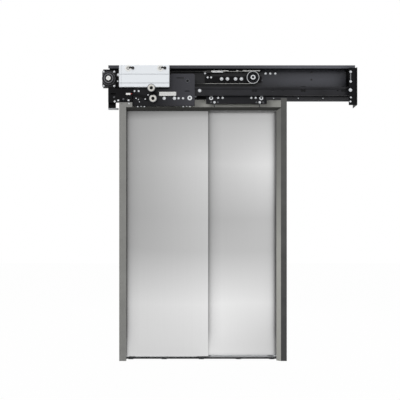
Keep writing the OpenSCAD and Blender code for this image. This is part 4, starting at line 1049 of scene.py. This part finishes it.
anchor_spots = [(x, z, WEB_Y, 7, 2) for x in (-600, 900) for z in (2274, 2334)]
tooth_spots = [(x, 2335, 92, 6, 3) for x in (84, 96, 108, 130, 142, 154)]
for name, build, finish, body, slot in (
    ("plug_body", place_all(moulded_block, [(-584, 2131, 18, 7.5, 3, 6.2, 11.6)]), white_plastic,
     "root", "contact_plastic"),
    ("plug_tip", place_all(moulded_block, [(-560, 2133, 6, 3, 2, 7.5, 11.6)]), red_plastic,
     "root", "contact_plastic"),
    ("hanger_plug", place_all(socket, [(-148, 2261, FAST_Y, 7, 1.5)]), black_plastic, "fast",
     "black_steel"),
    ("anchor_plugs", place_all(socket, anchor_spots), black_plastic, "root", "black_steel"),
    ("clamp_block", place_all(moulded_block, [(60, 2332, 18, 12, 3, 84, 90)]), black_plastic,
     "root", "belt_rubber"),
    ("clamp_teeth", place_all(socket, tooth_spots), belt_white, "root", "belt_rubber"),
):
    make_piece(name, build, finish, body)

# %% [markdown]
# The studio is white all round. The floor and the world are white only to the camera and to
# reflections, so the background is clean while the lamps decide how bright the door is. A trace of
# the floor's own paper stays in the mix, and that trace carries the door's soft shadow.

# %% White floor and world
FLOOR_HALF = 14.0
WHITE_SHARE = 0.975
AMBIENT = 0.55
paper, tree, shader = start("studio_floor", 0.0, 0.9)
rays = add(tree, "LightPath")
seen = add(tree, "Math", {0: rays["Is Camera Ray"], 1: rays["Is Glossy Ray"]}, operation="MAXIMUM")
part = add(tree, "Math", {0: seen[0], 1: WHITE_SHARE}, operation="MULTIPLY")
glow = add(tree, "Emission", {"Color": linear("#ffffff"), "Strength": 1.0})
mix = add(tree, "MixShader", {0: part[0], 1: shader.outputs[0], 2: glow[0]})
wire(tree, shader, {"Base Color": linear("#f4f4f4")})
wire(tree, tree.nodes["Material Output"], {"Surface": mix[0]})
corners = oblong(-FLOOR_HALF, FLOOR_HALF, -FLOOR_HALF, FLOOR_HALF)
floor_mesh = bpy.data.meshes.new("floor")
floor_mesh.from_pydata([(x, y, 0) for x, y in corners], [], [(0, 1, 2, 3)])
floor_mesh.materials.append(paper)
floor = bpy.data.objects.new("floor", floor_mesh)
bpy.context.scene.collection.objects.link(floor)

world = bpy.data.worlds.new("studio")
bpy.context.scene.world = world
world.use_nodes = True
tree = world.node_tree
rays = add(tree, "LightPath")
shiny = add(tree, "Math", {0: rays["Is Glossy Ray"], 1: rays["Is Transmission Ray"]},
            operation="MAXIMUM")
seen = add(tree, "Math", {0: rays["Is Camera Ray"], 1: shiny[0]}, operation="MAXIMUM")
level = add(tree, "MapRange", {"Value": seen[0], "To Min": AMBIENT, "To Max": 1.0})
wire(tree, tree.nodes["Background"], {"Strength": level["Result"], "Color": linear("#ffffff")})
print("floor", 2 * FLOOR_HALF, "m wide, ambient", AMBIENT)

# %% [markdown]
# Three large soft lamps light the door: a key from the upper left, a weaker fill from the right,
# and one behind, for the views of the back. They don't show in reflections: what the steel mirrors
# is the white room.

# %% Lamps
def soft_lamp(name, place, target, size, power):
    data = bpy.data.lights.new(name, "AREA")
    data.shape = "RECTANGLE"
    data.size, data.size_y = size
    data.energy = power
    lamp = bpy.data.objects.new(name, data)
    lamp.location = place
    lamp.visible_glossy = False
    lamp.rotation_euler = (Vector(target) - Vector(place)).to_track_quat("-Z", "Y").to_euler()
    bpy.context.scene.collection.objects.link(lamp)
    print(name, power, "W")


soft_lamp("key", (-2.6, -3.4, 3.4), (0, 0, 1.3), (2.0, 1.4), 55)
soft_lamp("fill", (3.2, -3.0, 1.6), (0, 0, 1.2), (1.6, 2.4), 30)
soft_lamp("rear", (0.5, 3.2, 2.8), (0, 0, 1.4), (2.4, 1.6), 40)
